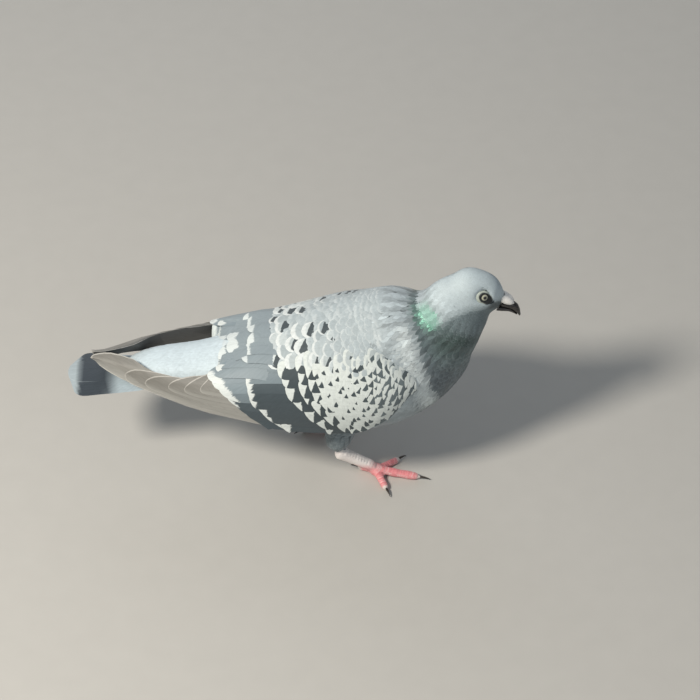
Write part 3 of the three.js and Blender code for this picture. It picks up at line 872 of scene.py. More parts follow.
coatPatterns = {
    "body": vanePattern([0.12, 0.36, 0.6, 0.8, 0.92], [0.55, 0.92, 1.0, 0.84, 0.5], 4),
    "small": vanePattern([0.2, 0.55, 0.85], [0.7, 1.0, 0.62], 2),
    "wisp": vanePattern([0.15, 0.5, 0.82], [0.6, 1.0, 0.6], 2),
    "broad": vanePattern([0.1, 0.3, 0.5, 0.68, 0.83, 0.94], [0.5, 0.85, 1.0, 1.0, 0.88, 0.55], 6),
    "scute": vanePattern([0.14, 0.5, 0.86], [0.82, 1.0, 0.86], 6),
}


def vaneMesh(name, pattern, points, looks, places, patch, flip=False):
    # points: vanes x points of the pattern x 3
    count, size = points.shape[:2]
    faces = [face[::-1] if flip else face for face in pattern["faces"]]
    corners = np.concatenate([np.array(face) for face in faces])
    sizes = np.array([len(face) for face in faces])
    allCorners = (corners[None, :] + size * np.arange(count)[:, None]).ravel()
    mesh = meshFrom(name, points.reshape(-1, 3), allCorners, np.tile(sizes, count))
    # the rim is sharp, so the face isn't shaded as a pillow
    onRim = np.zeros((size, size), bool)
    onRim[pattern["rim"], np.roll(pattern["rim"], 1)] = True
    ends = edgesOf(mesh) % size
    sharp = mesh.attributes.new("sharp_edge", "BOOLEAN", "EDGE")
    sharp.data.foreach_set("value", (onRim | onRim.T)[ends[:, 0], ends[:, 1]])
    giveAttribute(mesh, "along", np.tile(pattern["along"], count))
    giveAttribute(mesh, "across", np.tile(pattern["across"], count))
    for key, values in looks.items():
        if values.ndim == (3 if key in vaneColours else 2):
            values = values.reshape(-1, *values.shape[2:])
        else:
            values = np.repeat(values, size, axis=0)
        giveAttribute(mesh, key, values)
    local = np.stack([pattern["across"] * 0.5 + 0.5, pattern["along"]], axis=1) * 0.86 * patch
    uv = places[:, None, :] + local[None, corners]
    mesh.uv_layers.new(name="OFBake").data.foreach_set("uv", uv.astype(np.float32).ravel())
    print(f"{name}: {count} vanes, {int((sizes - 2).sum()) * count} triangles")
    return mesh


def plainLooks(count, ground):
    return dict(
        ground=ground,
        fringe=ground.copy(),
        mark=ground.copy(),
        fringeSize=np.full(count, -1.0),
        markStart=np.full(count, 3.0),
        markEnd=np.full(count, -3.0),
        markSlant=np.zeros(count),
        markRise=np.zeros(count),
    )


def cellPlaces(count, across, size):
    return np.array([((i % across) * size, (i // across) * size) for i in range(count)])


def freePlaces(unwrap, patch):
    # each vane's own patch, as near as can be to its root's place on the unwrap
    cells = int(1 / patch)
    wanted = np.clip((unwrap * cells).astype(int), 0, cells - 1)
    farthest = 18
    span = range(-farthest, farthest + 1)
    rings = sorted(itertools.product(span, span), key=lambda o: o[0] ** 2 + o[1] ** 2)
    taken = set()
    places = []
    for u, v in wanted.tolist():
        for dx, dy in rings:
            cell = (u + dx, v + dy)
            if cell not in taken and 0 <= cell[0] < cells and 0 <= cell[1] < cells:
                break
        taken.add(cell)
        places.append(cell)
    return np.array(places) * patch


# ---- the coat of small feathers over the skin

coatPatch = 0.0036  # each small vane's square on its piece's map, the gap to the next one with it
triesPerRoot = 7  # places drawn for each one that the spacing then lets stay


def scatter(keep, spacing, seed):
    # roots spread evenly over the skin where keep says so, no two nearer than spacing
    rng = np.random.default_rng(seed)
    points, faces = skinSurface["points"], skinSurface["faces"]
    quads = points[faces]
    middles = quads.mean(axis=1)
    normals = skinSurface["normals"]
    area = lengthOf(np.cross(quads[:, 2] - quads[:, 0], quads[:, 3] - quads[:, 1])) / 2
    wanted = keep(middles, normals)
    gap = spacing(middles)
    odds = np.where(wanted, area / gap**2, 0)
    number = int(odds.sum() * triesPerRoot)
    chosen = rng.choice(len(faces), number, p=odds / odds.sum())
    a, b = rng.random((2, number, 1))
    q = quads[chosen]
    roots = (q[:, 0] * (1 - a) + q[:, 1] * a) * (1 - b) + (q[:, 3] * (1 - a) + q[:, 2] * a) * b
    gaps = gap[chosen]
    cell = gaps.max()
    grid, kept = {}, []
    rootList = roots.tolist()
    for i, (p, g) in enumerate(zip(rootList, gaps.tolist())):
        key = tuple(int(v // cell) for v in p)
        around = itertools.product(*((k - 1, k, k + 1) for k in key))
        near = [j for cellKey in around for j in grid.get(cellKey, ())]
        if all(math.dist(p, rootList[j]) > g for j in near):
            grid.setdefault(key, []).append(i)
            kept.append(i)
    return roots[kept], normals[chosen[kept]], gaps[kept], rng


def lieOf(points, normals):
    # feathers run back from the bill over the head, down the neck, and back along the body
    share = neckShare(points)
    fromBill = unit(points - billRoot)
    downNeck = unit(neckRun) + np.array([-0.3, 0, 0])
    flow = blend(fromBill, np.tile(downNeck, (len(points), 1)), ease(0.1, 0.4, share))
    lean = np.tile([-1.0, 0, -0.12], (len(points), 1))
    lean[:, 2] -= 0.5 * ease(80, 105, points[:, 0])
    flow = blend(flow, lean, ease(0.7, 1.1, share))
    breastSide = ease(60, 76, points[:, 0]) * ease(18, 28, np.abs(points[:, 1])) * ease(118, 100, points[:, 2])
    flow = blend(flow, np.tile([-0.75, 0, -0.75], (len(points), 1)), 0.8 * breastSide)
    thigh = ease(50, 38, points[:, 2]) * ease(-30, 0, points[:, 0])
    flow = blend(flow, np.tile([-0.45, 0, -1.0], (len(points), 1)), thigh)
    flow = flow - normals * dot(flow, normals)[:, None]
    return unit(flow)


def layCoat(name, d, seed):
    # many small vanes over the skin, each lying along it and lifting a little towards its tip
    roots, normals, gaps, rng = scatter(d["keep"], d["spacing"], seed)
    count = len(roots)
    pattern = coatPatterns[d["pattern"]]
    alongVane, across, width = pattern["along"], pattern["across"], pattern["width"]
    lie = lieOf(roots, normals)
    turn = rng.normal(0, d["stray"], count)[:, None]
    lie = unit(lie * np.cos(turn) + np.cross(lie, normals) * np.sin(turn))
    side = unit(np.cross(lie, normals))
    length = gaps * d["length"] * rng.uniform(0.88, 1.12, count)
    half = gaps * d["width"] / 2 * rng.uniform(0.92, 1.1, count)
    flat = roots[:, None] + lie[:, None] * (alongVane * length[:, None])[..., None]
    flat = flat + side[:, None] * (across * width * half[:, None])[..., None]
    spots, turned = restOn(skinSurface, flat)
    low, high = (coatDepth(roots, np.zeros(count)) * share for share in d["lifts"])
    high = high * rng.normal(1, d["uneven"], count)
    lift = low[:, None] + (high - low)[:, None] * alongVane
    lift = lift + d["camber"] * half[:, None] * (1 - across**2) * width
    looks = d["looks"](roots + lie * (length * 0.8)[:, None], normals, rng)
    places = freePlaces(d["unwrap"](roots), coatPatch)
    return vaneMesh(name, pattern, spots + turned * lift[..., None], looks, places, coatPatch)


def trunkUnwrap(points):
    # round the body's long axis
    turn = np.arctan2(points[:, 1], points[:, 2] - 84)
    return np.stack([(points[:, 0] + 125) / 255, turn / (2 * math.pi) + 0.5], axis=1)


def neckUnwrap(points):
    # round the line from the head to the shoulders
    share = neckShare(points)
    away = points - (headMiddle + share[:, None] * neckRun)
    upAcross = np.array([-neckRun[2], 0, neckRun[0]]) / lengthOf(neckRun)
    turn = np.arctan2(away[:, 1], -(away @ upAcross))
    return np.stack([np.clip((share + 0.5) / 1.9, 0, 1), turn / (2 * math.pi) + 0.5], axis=1)


def legUnwrap(points):
    # round each leg, one leg to each half of the map
    hand = np.sign(points[:, 1])
    turn = np.arctan2(points[:, 0] - 20, points[:, 1] - hand * 20)
    half = (turn / (2 * math.pi) + 0.5) / 2 + np.where(hand > 0, 0.5, 0)
    return np.stack([np.clip(points[:, 2] / 75, 0, 1), half], axis=1)


skinTrees = {
    "head": treeOf(["head"]),
    "neck": treeOf(["neck"]),
    "trunk": treeOf(["trunk"]),
    "thigh": treeOf(["thigh_left", "thigh_right"]),
    "wing": treeOf(["wing_left", "wing_right"]),
    "leg": treeOf(legNodes),
}
partNames = np.array(list(skinTrees))
faceMiddles = skinSurface["points"][skinSurface["faces"]].mean(axis=1)
facePart = partNames[np.argmin([distancesTo(tree, faceMiddles) for tree in skinTrees.values()], axis=0)]
print("the skin's parts are known")


# the bare skin round each eye is a long ring, drawn out ahead of it and sloping down to the gape
bareDesign = dict(bill=3.2, ahead=3.1, lowered=0.2, slope=0.25, halfLong=7.8, halfTall=3.4)


def bareFace(points):
    # no feathers on the bill, the cere or the eyes
    d = bareDesign
    bare = lengthOf(points - billRoot) < d["bill"]
    for hand in hands:
        ahead, rise = (points - eyePlaces[hand]) @ headAhead, (points - eyePlaces[hand]) @ headUp
        onSide = points[:, 1] * hand > 3
        long, tall = ahead - d["ahead"], rise + d["lowered"] + d["slope"] * ahead
        bare |= onSide & ((long / d["halfLong"]) ** 2 + (tall / d["halfTall"]) ** 2 < 1)
    return bare


def headRegion(middles, normals):
    return np.isin(facePart, ["head", "neck"]) & (neckShare(middles) < 0.38) & ~bareFace(middles)


def neckRegion(middles, normals):
    share = neckShare(middles)
    return np.isin(facePart, ["head", "neck", "trunk"]) & (share >= 0.3) & (share < 1.04) & (middles[:, 0] > 48)


def breastRegion(middles, normals):
    front = (neckShare(middles) >= 0.96) & (middles[:, 0] > 50)
    low = normals[:, 2] < 0.1
    inReach = (middles[:, 0] > -42) & (middles[:, 2] < 120)
    return np.isin(facePart, ["trunk", "neck"]) & (front | low) & inReach


def backRegion(middles, normals):
    high = (normals[:, 2] > -0.15) & ((neckShare(middles) > 0.9) | (middles[:, 0] < 64))
    return np.isin(facePart, ["trunk", "neck"]) & high & (middles[:, 0] < 82) & (middles[:, 0] > -34)


def rumpRegion(middles, normals):
    return (facePart == "trunk") & (middles[:, 0] < -24) & (normals[:, 2] > -0.1)


def ventRegion(middles, normals):
    return (facePart == "trunk") & (normals[:, 2] <= 0.1) & (middles[:, 0] <= -36)


def thighRegion(middles, normals):
    return (facePart == "thigh") & (middles[:, 2] > 28)


def breastSideRegion(middles, normals):
    # soft long feathers that lap over the bend of the wing
    side, past = np.abs(middles[:, 1]), pastBend(middles)
    height = (middles[:, 2] > 66) & (middles[:, 2] < 128)
    return ~np.isin(facePart, ["leg", "head"]) & height & (side > 16) & (past > -5) & (past < 9)


def scapularRegion(middles, normals):
    side, x = np.abs(middles[:, 1]), middles[:, 0]
    onWing = (facePart == "wing") & (wingShare(middles) > 0.82 + 0.16 * ease(44, 58, x)) & (x < 78)
    besideIt = (facePart == "trunk") & (side > 3 + 9 * ease(0, 30, x)) & (normals[:, 2] > 0.3) & (x < 56)
    return (onWing | besideIt) & (x > -8)


def varied(colours, rng, spread):
    return colours * rng.normal(1, spread, len(colours))[:, None].clip(0.8, 1.2)


def softLooks(fringeTint, fringeShare, fringeSize, spread):
    # each feather takes the skin's own marking, with a fringe part of the way to another tint
    def looksOf(places, normals, rng):
        count = len(places)
        ground = varied(markings(places, normals), rng, spread)
        looks = plainLooks(count, ground)
        looks["fringe"] = blend(ground, tintValues[fringeTint], np.full(count, fringeShare))
        looks["fringeSize"] = fringeSize * rng.uniform(0.5, 1.3, count)
        return looks

    return looksOf


streakDesign = dict(rows=24, sway=0.35, swayTurns=17)


def streaked(looks, places, amount):
    # lengthwise streaks down the neck, where the feathers part in rows
    d = streakDesign
    down, turn = neckUnwrap(places).T
    streak = np.sin(2 * math.pi * (d["rows"] * turn + d["sway"] * np.sin(d["swayTurns"] * down)))
    tone = 1 + amount * streak * ease(0.3, 0.42, down) * ease(0.95, 0.8, down)
    for key in vaneColours:
        looks[key] = looks[key] * tone[:, None]
    return looks


def headLooks(places, normals, rng):
    return streaked(softLooks("crown", 0.1, 0.1, 0.025)(places, normals, rng), places, 0.14)


def neckLooks(places, normals, rng):
    looks = streaked(softLooks("shoulder", 0.08, 0.1, 0.1)(places, normals, rng), places, 0.22)
    # single feathers catch the green more or less: a painted sheen on their ground, brighter on their fringes
    green = greenness(places) * rng.uniform(-0.6, 1.4, len(places)).clip(0, 1)
    looks["ground"] = blend(looks["ground"], linear("#68ab92"), 0.65 * green)
    looks["fringe"] = blend(looks["fringe"], linear("#a2e9cc"), 0.9 * green)
    looks["fringeSize"] = looks["fringeSize"] + 0.15 * green
    return looks


def mantleLooks(places, normals, rng):
    # pale arcs that fade out towards the neck
    looks = softLooks("silver", 1.0, 0.16, 0.035)(places, normals, rng)
    shown = ease(78, 58, places[:, 0]) * rng.uniform(0.12, 0.55, len(places))
    looks["fringe"] = blend(looks["ground"], looks["fringe"], shown)
    return looks


scapularDesign = dict(grey="#9aa6aa", white="#d6dedd", dark="#4a5357", fringe="#dde3e2")


def scapularLooks(places, normals, rng):
    d = scapularDesign
    count = len(places)
    x = places[:, 0]
    rear = ease(42, 4, x)
    pale = rear * rng.random(count) ** np.where(places[:, 1] > 0, 0.4, 1.6)
    ground = blend(tintValues["mantle"], linear(d["grey"]), 0.8 * rear)
    ground = blend(ground, linear(d["white"]), pale)
    looks = plainLooks(count, varied(ground, rng, 0.03))
    looks["fringe"] = blend(looks["ground"], linear(d["fringe"]), 0.3 + 0.7 * rear)
    looks["fringeSize"] = (0.03 + 0.12 * rear) * rng.uniform(0.6, 1.2, count)
    marked = rng.random(count) < ease(46, 26, x) * (0.35 + 0.5 * pale)
    looks["mark"] = np.tile(linear(d["dark"]), (count, 1))
    looks["markStart"] = np.where(marked, rng.uniform(0.2, 0.4, count), 3.0)
    looks["markEnd"] = np.where(marked, rng.uniform(0.8, 0.88, count), -3.0)
    looks["markRise"] = rng.uniform(0.05, 0.2, count)
    looks["markSlant"] = -rng.uniform(0.1, 0.22, count)
    return looks


def headSpacing(points):
    # smallest round the bill and the eyes
    return 0.72 + 0.45 * ease(5, 24, lengthOf(points - billRoot))


def neckSpacing(points):
    return 1.4 + 0.9 * ease(0.35, 0.8, neckShare(points))


def backSpacing(points):
    return 2.6 + 1.6 * ease(66, 16, points[:, 0])


def scapularSpacing(points):
    return 3.0 + 3.6 * ease(56, 16, points[:, 0])


def evenly(size):
    return lambda points: np.full(len(points), size)


# barbs: streaks along one vane; a body feather is about 8 mm long and a flight feather 100 mm
downyFeather = featherMaterial("downyFeather", barbs=9, fringeSoftness=0.16, fringeReach=4.0, bump=0.15)
satinFeather = featherMaterial("satinFeather", barbs=14, fringeSoftness=0.08, fringeReach=4.0)
glossyFeather = featherMaterial(
    "glossyNeckFeather", barbs=9, fringeSoftness=0.16, fringeReach=4.0, roughness=0.45, gloss=0.5, bump=0.15
)
flightFeather = featherMaterial(
    "flightFeather", barbs=70, fringeSoftness=0.012, fringeReach=14.0, roughness=0.52
)

# what most of the coat has in common
coatDefaults = dict(
    unwrap=trunkUnwrap, finish=downyFeather, slot="body_plumage", pattern="body", camber=0.04, uneven=0.02
)
coatDesign = {
    "headFeathers": dict(
        keep=headRegion, unwrap=neckUnwrap, looks=headLooks, slot="head_plumage", pattern="small",
        spacing=headSpacing, length=4.4, width=2.3, stray=0.05, lifts=(0.68, 0.98),
    ),
    "neckFeathers": dict(
        keep=neckRegion, unwrap=neckUnwrap, looks=neckLooks, finish=glossyFeather, slot="neck_plumage",
        pattern="wisp", spacing=neckSpacing, length=5.4, width=1.7, stray=0.12, lifts=(0.72, 0.98),
    ),
    "breastFeathers": dict(
        keep=breastRegion, looks=softLooks("shoulder", 0.16, 0.1, 0.06),
        spacing=evenly(2.6), length=4.2, width=2.2, stray=0.07, lifts=(0.72, 0.97),
    ),
    "backFeathers": dict(
        keep=backRegion, looks=mantleLooks,
        spacing=backSpacing, length=3.2, width=3.4, stray=0.05, lifts=(0.7, 1.0), uneven=0.012,
    ),
    "rumpFeathers": dict(
        keep=rumpRegion, looks=softLooks("rump", 0.3, 0.1, 0.018),
        spacing=evenly(3.0), length=4.4, width=2.3, stray=0.04, lifts=(0.8, 0.98), camber=0.015, uneven=0.006,
    ),
    "ventFeathers": dict(
        keep=ventRegion, looks=softLooks("rump", 0.3, 0.1, 0.02),
        spacing=evenly(3.2), length=4.0, width=2.1, stray=0.06, lifts=(0.5, 1.0), camber=0.05,
    ),
    "thighFeathers": dict(
        keep=thighRegion, unwrap=legUnwrap, looks=softLooks("shoulder", 0.3, 0.1, 0.03), pattern="wisp",
        spacing=evenly(1.9), length=4.2, width=1.9, stray=0.12, lifts=(0.3, 1.1), camber=0.06, uneven=0.05,
    ),
    "scapulars": dict(
        keep=scapularRegion, looks=scapularLooks, finish=satinFeather, slot="wing_coverts", pattern="broad",
        spacing=scapularSpacing, length=2.6, width=1.9, stray=0.06, lifts=(0.7, 1.12), camber=0.05, uneven=0.01,
    ),
    "breastSideFeathers": dict(
        # their fringes go towards the painted highlight along the bend of the wing
        keep=breastSideRegion, looks=softLooks("fluff", 0.35, 0.2, 0.05), pattern="wisp",
        spacing=evenly(1.9), length=6.2, width=1.6, stray=0.12, lifts=(0.6, 1.08), uneven=0.03,
    ),
}

for seed, (name, own) in enumerate(coatDesign.items(), 11):
    d = coatDefaults | own
    addPiece(layCoat(name, d, seed), d["finish"], d["slot"])

paintSkin()
addPiece(skinMesh, skinMaterial("bareSkin"), "body_plumage", *fleshNodes, *legNodes)

flightRows = [0.04, 0.14, 0.27, 0.4, 0.52, 0.63, 0.72, 0.79, 0.85, 0.9, 0.935, 0.96, 0.98, 0.992]
nearRoot = ease(-0.1, 0.15, np.array(flightRows))
covertRows = [0.05, 0.2, 0.38, 0.54, 0.67, 0.77, 0.85, 0.91, 0.955, 0.985]
longCovertRows = [0.05, 0.25, 0.45, 0.62, 0.74, 0.82, 0.88, 0.92, 0.95, 0.975, 0.99]
bluntEnd, longEnd = roundTip(flightRows, 0.7, 1.6) * nearRoot, roundTip(flightRows, 0.94) * nearRoot
wingPatterns = {
    # narrow outer web with a blunt end, broad inner web that tapers over the last fifth
    "primary": vanePattern(flightRows, bluntEnd, 8, longEnd),
    "outermost": vanePattern(flightRows, roundTip(flightRows, 0.92, 3.0) * nearRoot, 8),
    "secondary": vanePattern(flightRows, roundTip(flightRows, 0.8) * nearRoot, 8),
    "covert": vanePattern(covertRows, roundTip(covertRows, 0.72, 2.6), 8),
    "longCovert": vanePattern(longCovertRows, roundTip(longCovertRows, 0.88, 2.4), 8),
}


def addFlight(name, hand, pattern, points, looks, *replaced):
    # large vanes have large squares on their map
    places = cellPlaces(len(points), 3, 0.31)
    mesh = vaneMesh(name + handEnds[hand], pattern, points, looks, places, 0.3, flip=hand == left)
    addPiece(mesh, flightFeather, "flight_feathers", *replaced)


def whiteEnded(white, colours, markEnd, markSlant):
    # each feather's own colour is its mark, which stops short of a white end
    count = len(markEnd)
    looks = plainLooks(count, np.tile(linear(white), (count, 1)))
    return looks | dict(mark=colours, markStart=np.full(count, -3.0), markEnd=markEnd, markSlant=markSlant)


# ---- primaries

primaryDesign = dict(
    tips=[(-136, 1.05), (-113.5, 0.15), (-99.5, 0.22), (-83.5, 0.42), (-72.5, 0.5), (-61.5, 0.59), (-52, 0.67)],
    rootX=-2, rootShares=[0.02, 0.05, 0.09, 0.13, 0.17, 0.21, 0.25], curves=[5, 1.2, 1, 1, 1, 1, 1],
    lowHalf=[9, 4, 3.2, 3.2, 3.2, 3.2, 3.2], highHalf=[17, 21, 21, 21, 21, 21, 21],
    slack=(1.2, [(-135, 3.6), (-130, 5), (-124, 6.2), (-112, 6.6), (-95, 5.6), (-60, 2.2)]),
    bottom=-2.9, layer=0.22, camber=0.12, tilt=0.12,
    # the last colour is painted shade, a dark grey for the far wing's rims and undersides
    ground="#a3a29c", inner="#82807a", edge="#b9b7b0", under="#3f4143",
)


def layPrimaries(hand):
    d = primaryDesign
    tips = np.array(d["tips"])
    roots = np.stack([np.full(len(tips), d["rootX"]), d["rootShares"]], axis=1)
    lowHalf, highHalf, curves = (np.array(d[key]) for key in ("lowHalf", "highHalf", "curves"))
    for name, shape, some in (("wingTip", "outermost", slice(0, 1)), ("primaries", "primary", slice(1, None))):
        pattern = wingPatterns[shape]
        count = len(tips[some])
        layer = d["bottom"] + d["layer"] * np.arange(len(tips))[some]
        own = dict(half=(lowHalf[some], highHalf[some]), lifts=(layer, layer), curves=curves[some])
        points = chartVanes(hand, pattern, roots[some], tips[some], d, **own)
        # each darkens towards its end
        shade = ease(-0.8, 0.6, pattern["across"]) * ease(0.45, 0.95, pattern["along"])
        colour = blend(linear(d["ground"]), linear(d["inner"]), shade)
        if hand == left:  # painted shade on the far wing: its rims, and the undersides that take their colour from them, are darkened
            colour = blend(colour, linear(d["under"]), 0.8 * (np.abs(pattern["across"]) > 0.9))
        looks = plainLooks(count, np.tile(colour, (count, 1, 1)))
        looks |= dict(fringe=np.tile(linear(d["edge"]), (count, 1)), fringeSize=np.full(count, 0.002))
        replaced = ["primaries_" + handNames[hand]] if name == "primaries" else []
        addFlight(name, hand, pattern, points, looks, *replaced)


# ---- secondaries

secondaryDesign = dict(
    tips=[
        (-21, 0.02), (-27, 0.09), (-32, 0.17), (-37, 0.27), (-42.5, 0.39),
        (-48, 0.53), (-53, 0.68), (-56.5, 0.84), (-51, 0.97),
    ],
    rootX=22,
    half=(8.8, 8.8), slack=(1.5, 1.5), rootLift=-2.4, bottom=-1.45, layer=0.1, tilt=0.26, camber=0.12,
    ground="#8a979d", dark="#49545a", white="#e1e7e4", whiteLength=11, length=75,
)


def laySecondaries(hand):
    d = secondaryDesign
    tips = np.array(d["tips"])
    count = len(tips)
    roots = np.stack([np.full(count, d["rootX"]), tips[:, 1] * 0.75 + 0.05], axis=1)
    layer = d["bottom"] + d["layer"] * np.arange(count)
    pattern = wingPatterns["secondary"]
    shear = 0.75 * edgeSlope(charts[hand], [(share, x) for x, share in d["tips"][:-1]], tips[:, 1])
    points = chartVanes(hand, pattern, roots, tips, d, lifts=(d["rootLift"], layer), shear=shear)
    # the lower secondaries grow darker: partly their own slate, partly painted shade along the wing's lower
    # edge
    colours = blend(linear(d["ground"]), linear(d["dark"]), ease(0.64, 0.34, tips[:, 1]))
    white = d["whiteLength"] * ease(0.3, 0.5, tips[:, 1]) / d["length"]
    looks = whiteEnded(d["white"], colours, 1 - white, 0.45 * white)
    addFlight("secondaries", hand, pattern, points, looks, "secondaries_" + handNames[hand])


# ---- tertials: broad grey feathers with white ends that lie over the back from both wings

tertialDesign = dict(
    # roots and tips as (x, distance from the middle of the back), the undermost first;
    # the last three are the inmost greater coverts
    roots=[(-4, 29), (-2, 24), (0, 18), (2, 12), (2, 24), (4, 18), (6, 12)],
    tips=[(-55, 20.5), (-53, 14.5), (-49.5, 8.5), (-44, 3.5), (-33.5, 17.5), (-32, 11.5), (-30, 5)],
    halves=[8.6, 8.6, 8.6, 8.2, 7.2, 7.2, 7.2], whiteLengths=[4, 5, 6.5, 9, 4.2, 4.5, 5.2],
    lift=2.95, overWing=0.1, sunk=2.8, layer=0.15, camber=0.12, tilt=0.1, step=1.5, smooth=14,
    grey="#919da2", white="#dbe3e2",
)
backSpan = (-66, 24, 42)  # from x to x, and as far to each side
wellBelow, wellAbove = 60.0, 200  # heights under and over everything on the rear back


def backLevel():
    # the height of the plumage over the rear back and the folded wings beside it, evened out
    d = tertialDesign
    rear, front, side = backSpan
    xs, ys = np.arange(rear, front, d["step"]), np.arange(-side, side + 0.1, d["step"])
    trees = [(skinSurface["tree"], d["lift"])] + [(chart["tree"], d["overWing"]) for chart in charts.values()]
    level = np.full((len(xs), len(ys)), wellBelow)
    for (i, x), (k, y) in itertools.product(enumerate(xs), enumerate(ys)):
        for tree, lift in trees:
            hit = tree.ray_cast(Vector((x, middleY + y, wellAbove)), Vector((0, 0, -1)))[0]
            if hit:
                level[i, k] = max(level[i, k], hit.z + lift)
    for _ in range(d["smooth"]):
        padded = np.pad(level, 1, mode="edge")
        around = padded[:-2, 1:-1] + padded[2:, 1:-1] + padded[1:-1, :-2] + padded[1:-1, 2:]
        level = 0.5 * level + around / 8
    return level


def layTertials(hand, level):
    d = tertialDesign
    pattern = wingPatterns["secondary"]
    alongVane, across, width = pattern["along"], pattern["across"], pattern["width"]
    roots, tips = np.array(d["roots"], float), np.array(d["tips"], float)
    count = len(tips)
    run = tips - roots
    lengths = lengthOf(run)
    plan = roots[:, None] + run[:, None] * alongVane[:, None]
    sideways = np.stack([run[:, 1], -run[:, 0]], axis=1) / lengths[:, None]
    plan = plan - sideways[:, None] * (across * width * np.array(d["halves"])[:, None])[..., None]
    x, y = plan[..., 0], hand * plan[..., 1]
    z = sampled(level[..., None], (x - backSpan[0]) / d["step"], (y + backSpan[2]) / d["step"])[..., 0]
    z = z + d["layer"] * (2 * np.arange(count)[:, None] + (hand == right))
    z = z + d["camber"] * (1 - across**2) * width - d["tilt"] * across * width - d["sunk"] * ease(-25, -6, x)
    # the white runs round the outer corner of each end
    white = np.array(d["whiteLengths"]) / lengths
    colours = np.tile(linear(d["grey"]), (count, 1))
    looks = whiteEnded(d["white"], colours, 1 - 1.25 * white, 0.4 * white)
    addFlight("tertials", hand, pattern, np.stack([x, middleY + y, z], axis=2), looks)


# ---- greater coverts: slate with white saw-tooth ends

greaterDesign = dict(
    edge=[(0.0, -5), (0.05, -8.4), (0.11, -14.4), (0.22, -20.4), (0.38, -27.4), (0.7, -31.4), (1.0, -30.4)],
    shares=[0.02, 0.1, 0.19, 0.29, 0.4, 0.51, 0.62, 0.74, 0.88], length=46,
    half=(7.4, 7.4), slack=(1.0, 1.0), lifts=(-1.7, -0.75), tilt=0.26, camber=0.08,
    slate="#485257", grey="#7d8a90", white="#dfe5e2", margin=2.6, whiteLength=6.2,
)


def layGreaterCoverts(hand):
    d = greaterDesign
    rng = np.random.default_rng(41 + hand)
    shares = np.array(d["shares"])
    count = len(shares)
    tips = np.stack([track(d["edge"], shares) + rng.normal(0, 0.5, count), shares], axis=1)
    roots = np.stack([tips[:, 0] + d["length"], shares * 0.86 + 0.05], axis=1)
    pattern = wingPatterns["longCovert"]
    points = chartVanes(hand, pattern, roots, tips, d, shear=0.8 * edgeSlope(charts[hand], d["edge"], shares))
    colours = blend(np.tile(linear(d["slate"]), (count, 1)), linear(d["grey"]), ease(0.6, 0.7, shares))
    markEnd = 1 - d["margin"] * rng.uniform(0.7, 1.4, count) / d["length"]
    markSlant = (d["margin"] - d["whiteLength"]) / d["length"] / 1.2 * rng.uniform(0.8, 1.2, count)
    addFlight("greaterCoverts", hand, pattern, points, whiteEnded(d["white"], colours, markEnd, markSlant))


# ---- median and lesser coverts: white with dark checks, smaller and closer towards the bend

shieldDesign = dict(
    edge=[
        (0.0, 24), (0.08, 20.6), (0.21, 10.6), (0.33, 4.5), (0.43, -2.4), (0.57, -6.5), (0.84, -9.4),
        (1.0, -10.4),
    ],
    rowSteps=[0, 10, 7, 6.2, 5.6, 5.2, 4.9, 4.6, 4.4, 4.2, 4, 3.9, 3.8, 3.7, 3.6, 3.5, 3.4, 3.3, 3.2],
    acrossFirst=8.6, acrossLast=4.8, jitter=0.13, frontEdge=82, rowLength=80,
    lifts=(-1.3, -0.35), tilt=0.22, camber=0.05, length=2.4, width=1.6, slack=(0.8, 0.8),
    # by the row from the rear: how long the dark marks are, how often they come, their white margin
    markSizes=[(0, 30), (1, 7.5), (2, 6.4), (3, 4.4), (6, 3.4), (9, 5.4), (13, 7.5), (18, 8)],
    markOdds=[(0, 1), (1, 1), (2, 0.95), (3, 0.75), (6, 0.6), (8, 0.9), (10, 1)],
    margins=[(0, 2.3), (1, 1.5), (3, 1.0), (9, 0.7), (18, 0.4)],
    white="#d9e0dc", slate="#434d51", midGrey="#737f82", innerGrey="#a7b2b5",
)


def shieldPlaces(chart, rng):
    # rows of feather tips, each row between the feathers of the one behind it
    d = shieldDesign
    tips, steps, spans, rows = [], [], [], []
    travelled = 0.0
    for row, step in enumerate(d["rowSteps"]):
        travelled += step
        gap = d["acrossFirst"] + (d["acrossLast"] - d["acrossFirst"]) * row / (len(d["rowSteps"]) - 1)
        place = 0.5 * gap * (row % 2) + 0.25 * gap
        while place < d["rowLength"]:
            share = place / float(arcAt(chart, 20))
            x = track(d["edge"], share) + travelled
            share = place / float(arcAt(chart, max(x, 20)))
            if share < 0.86 + 0.12 * ease(44, 58, x) and x < d["frontEdge"]:
                tips.append((x, share))
                steps.append(d["rowSteps"][min(row + 1, len(d["rowSteps"]) - 1)])
                spans.append(gap)
                rows.append(row)
            place += gap
    tips, spans = np.array(tips), np.array(spans)
    stray = rng.normal(0, d["jitter"], tips.shape) * spans[:, None]
    tips = tips + stray / [1, float(arcAt(chart, 20))]
    return tips, np.array(steps), spans, np.array(rows)


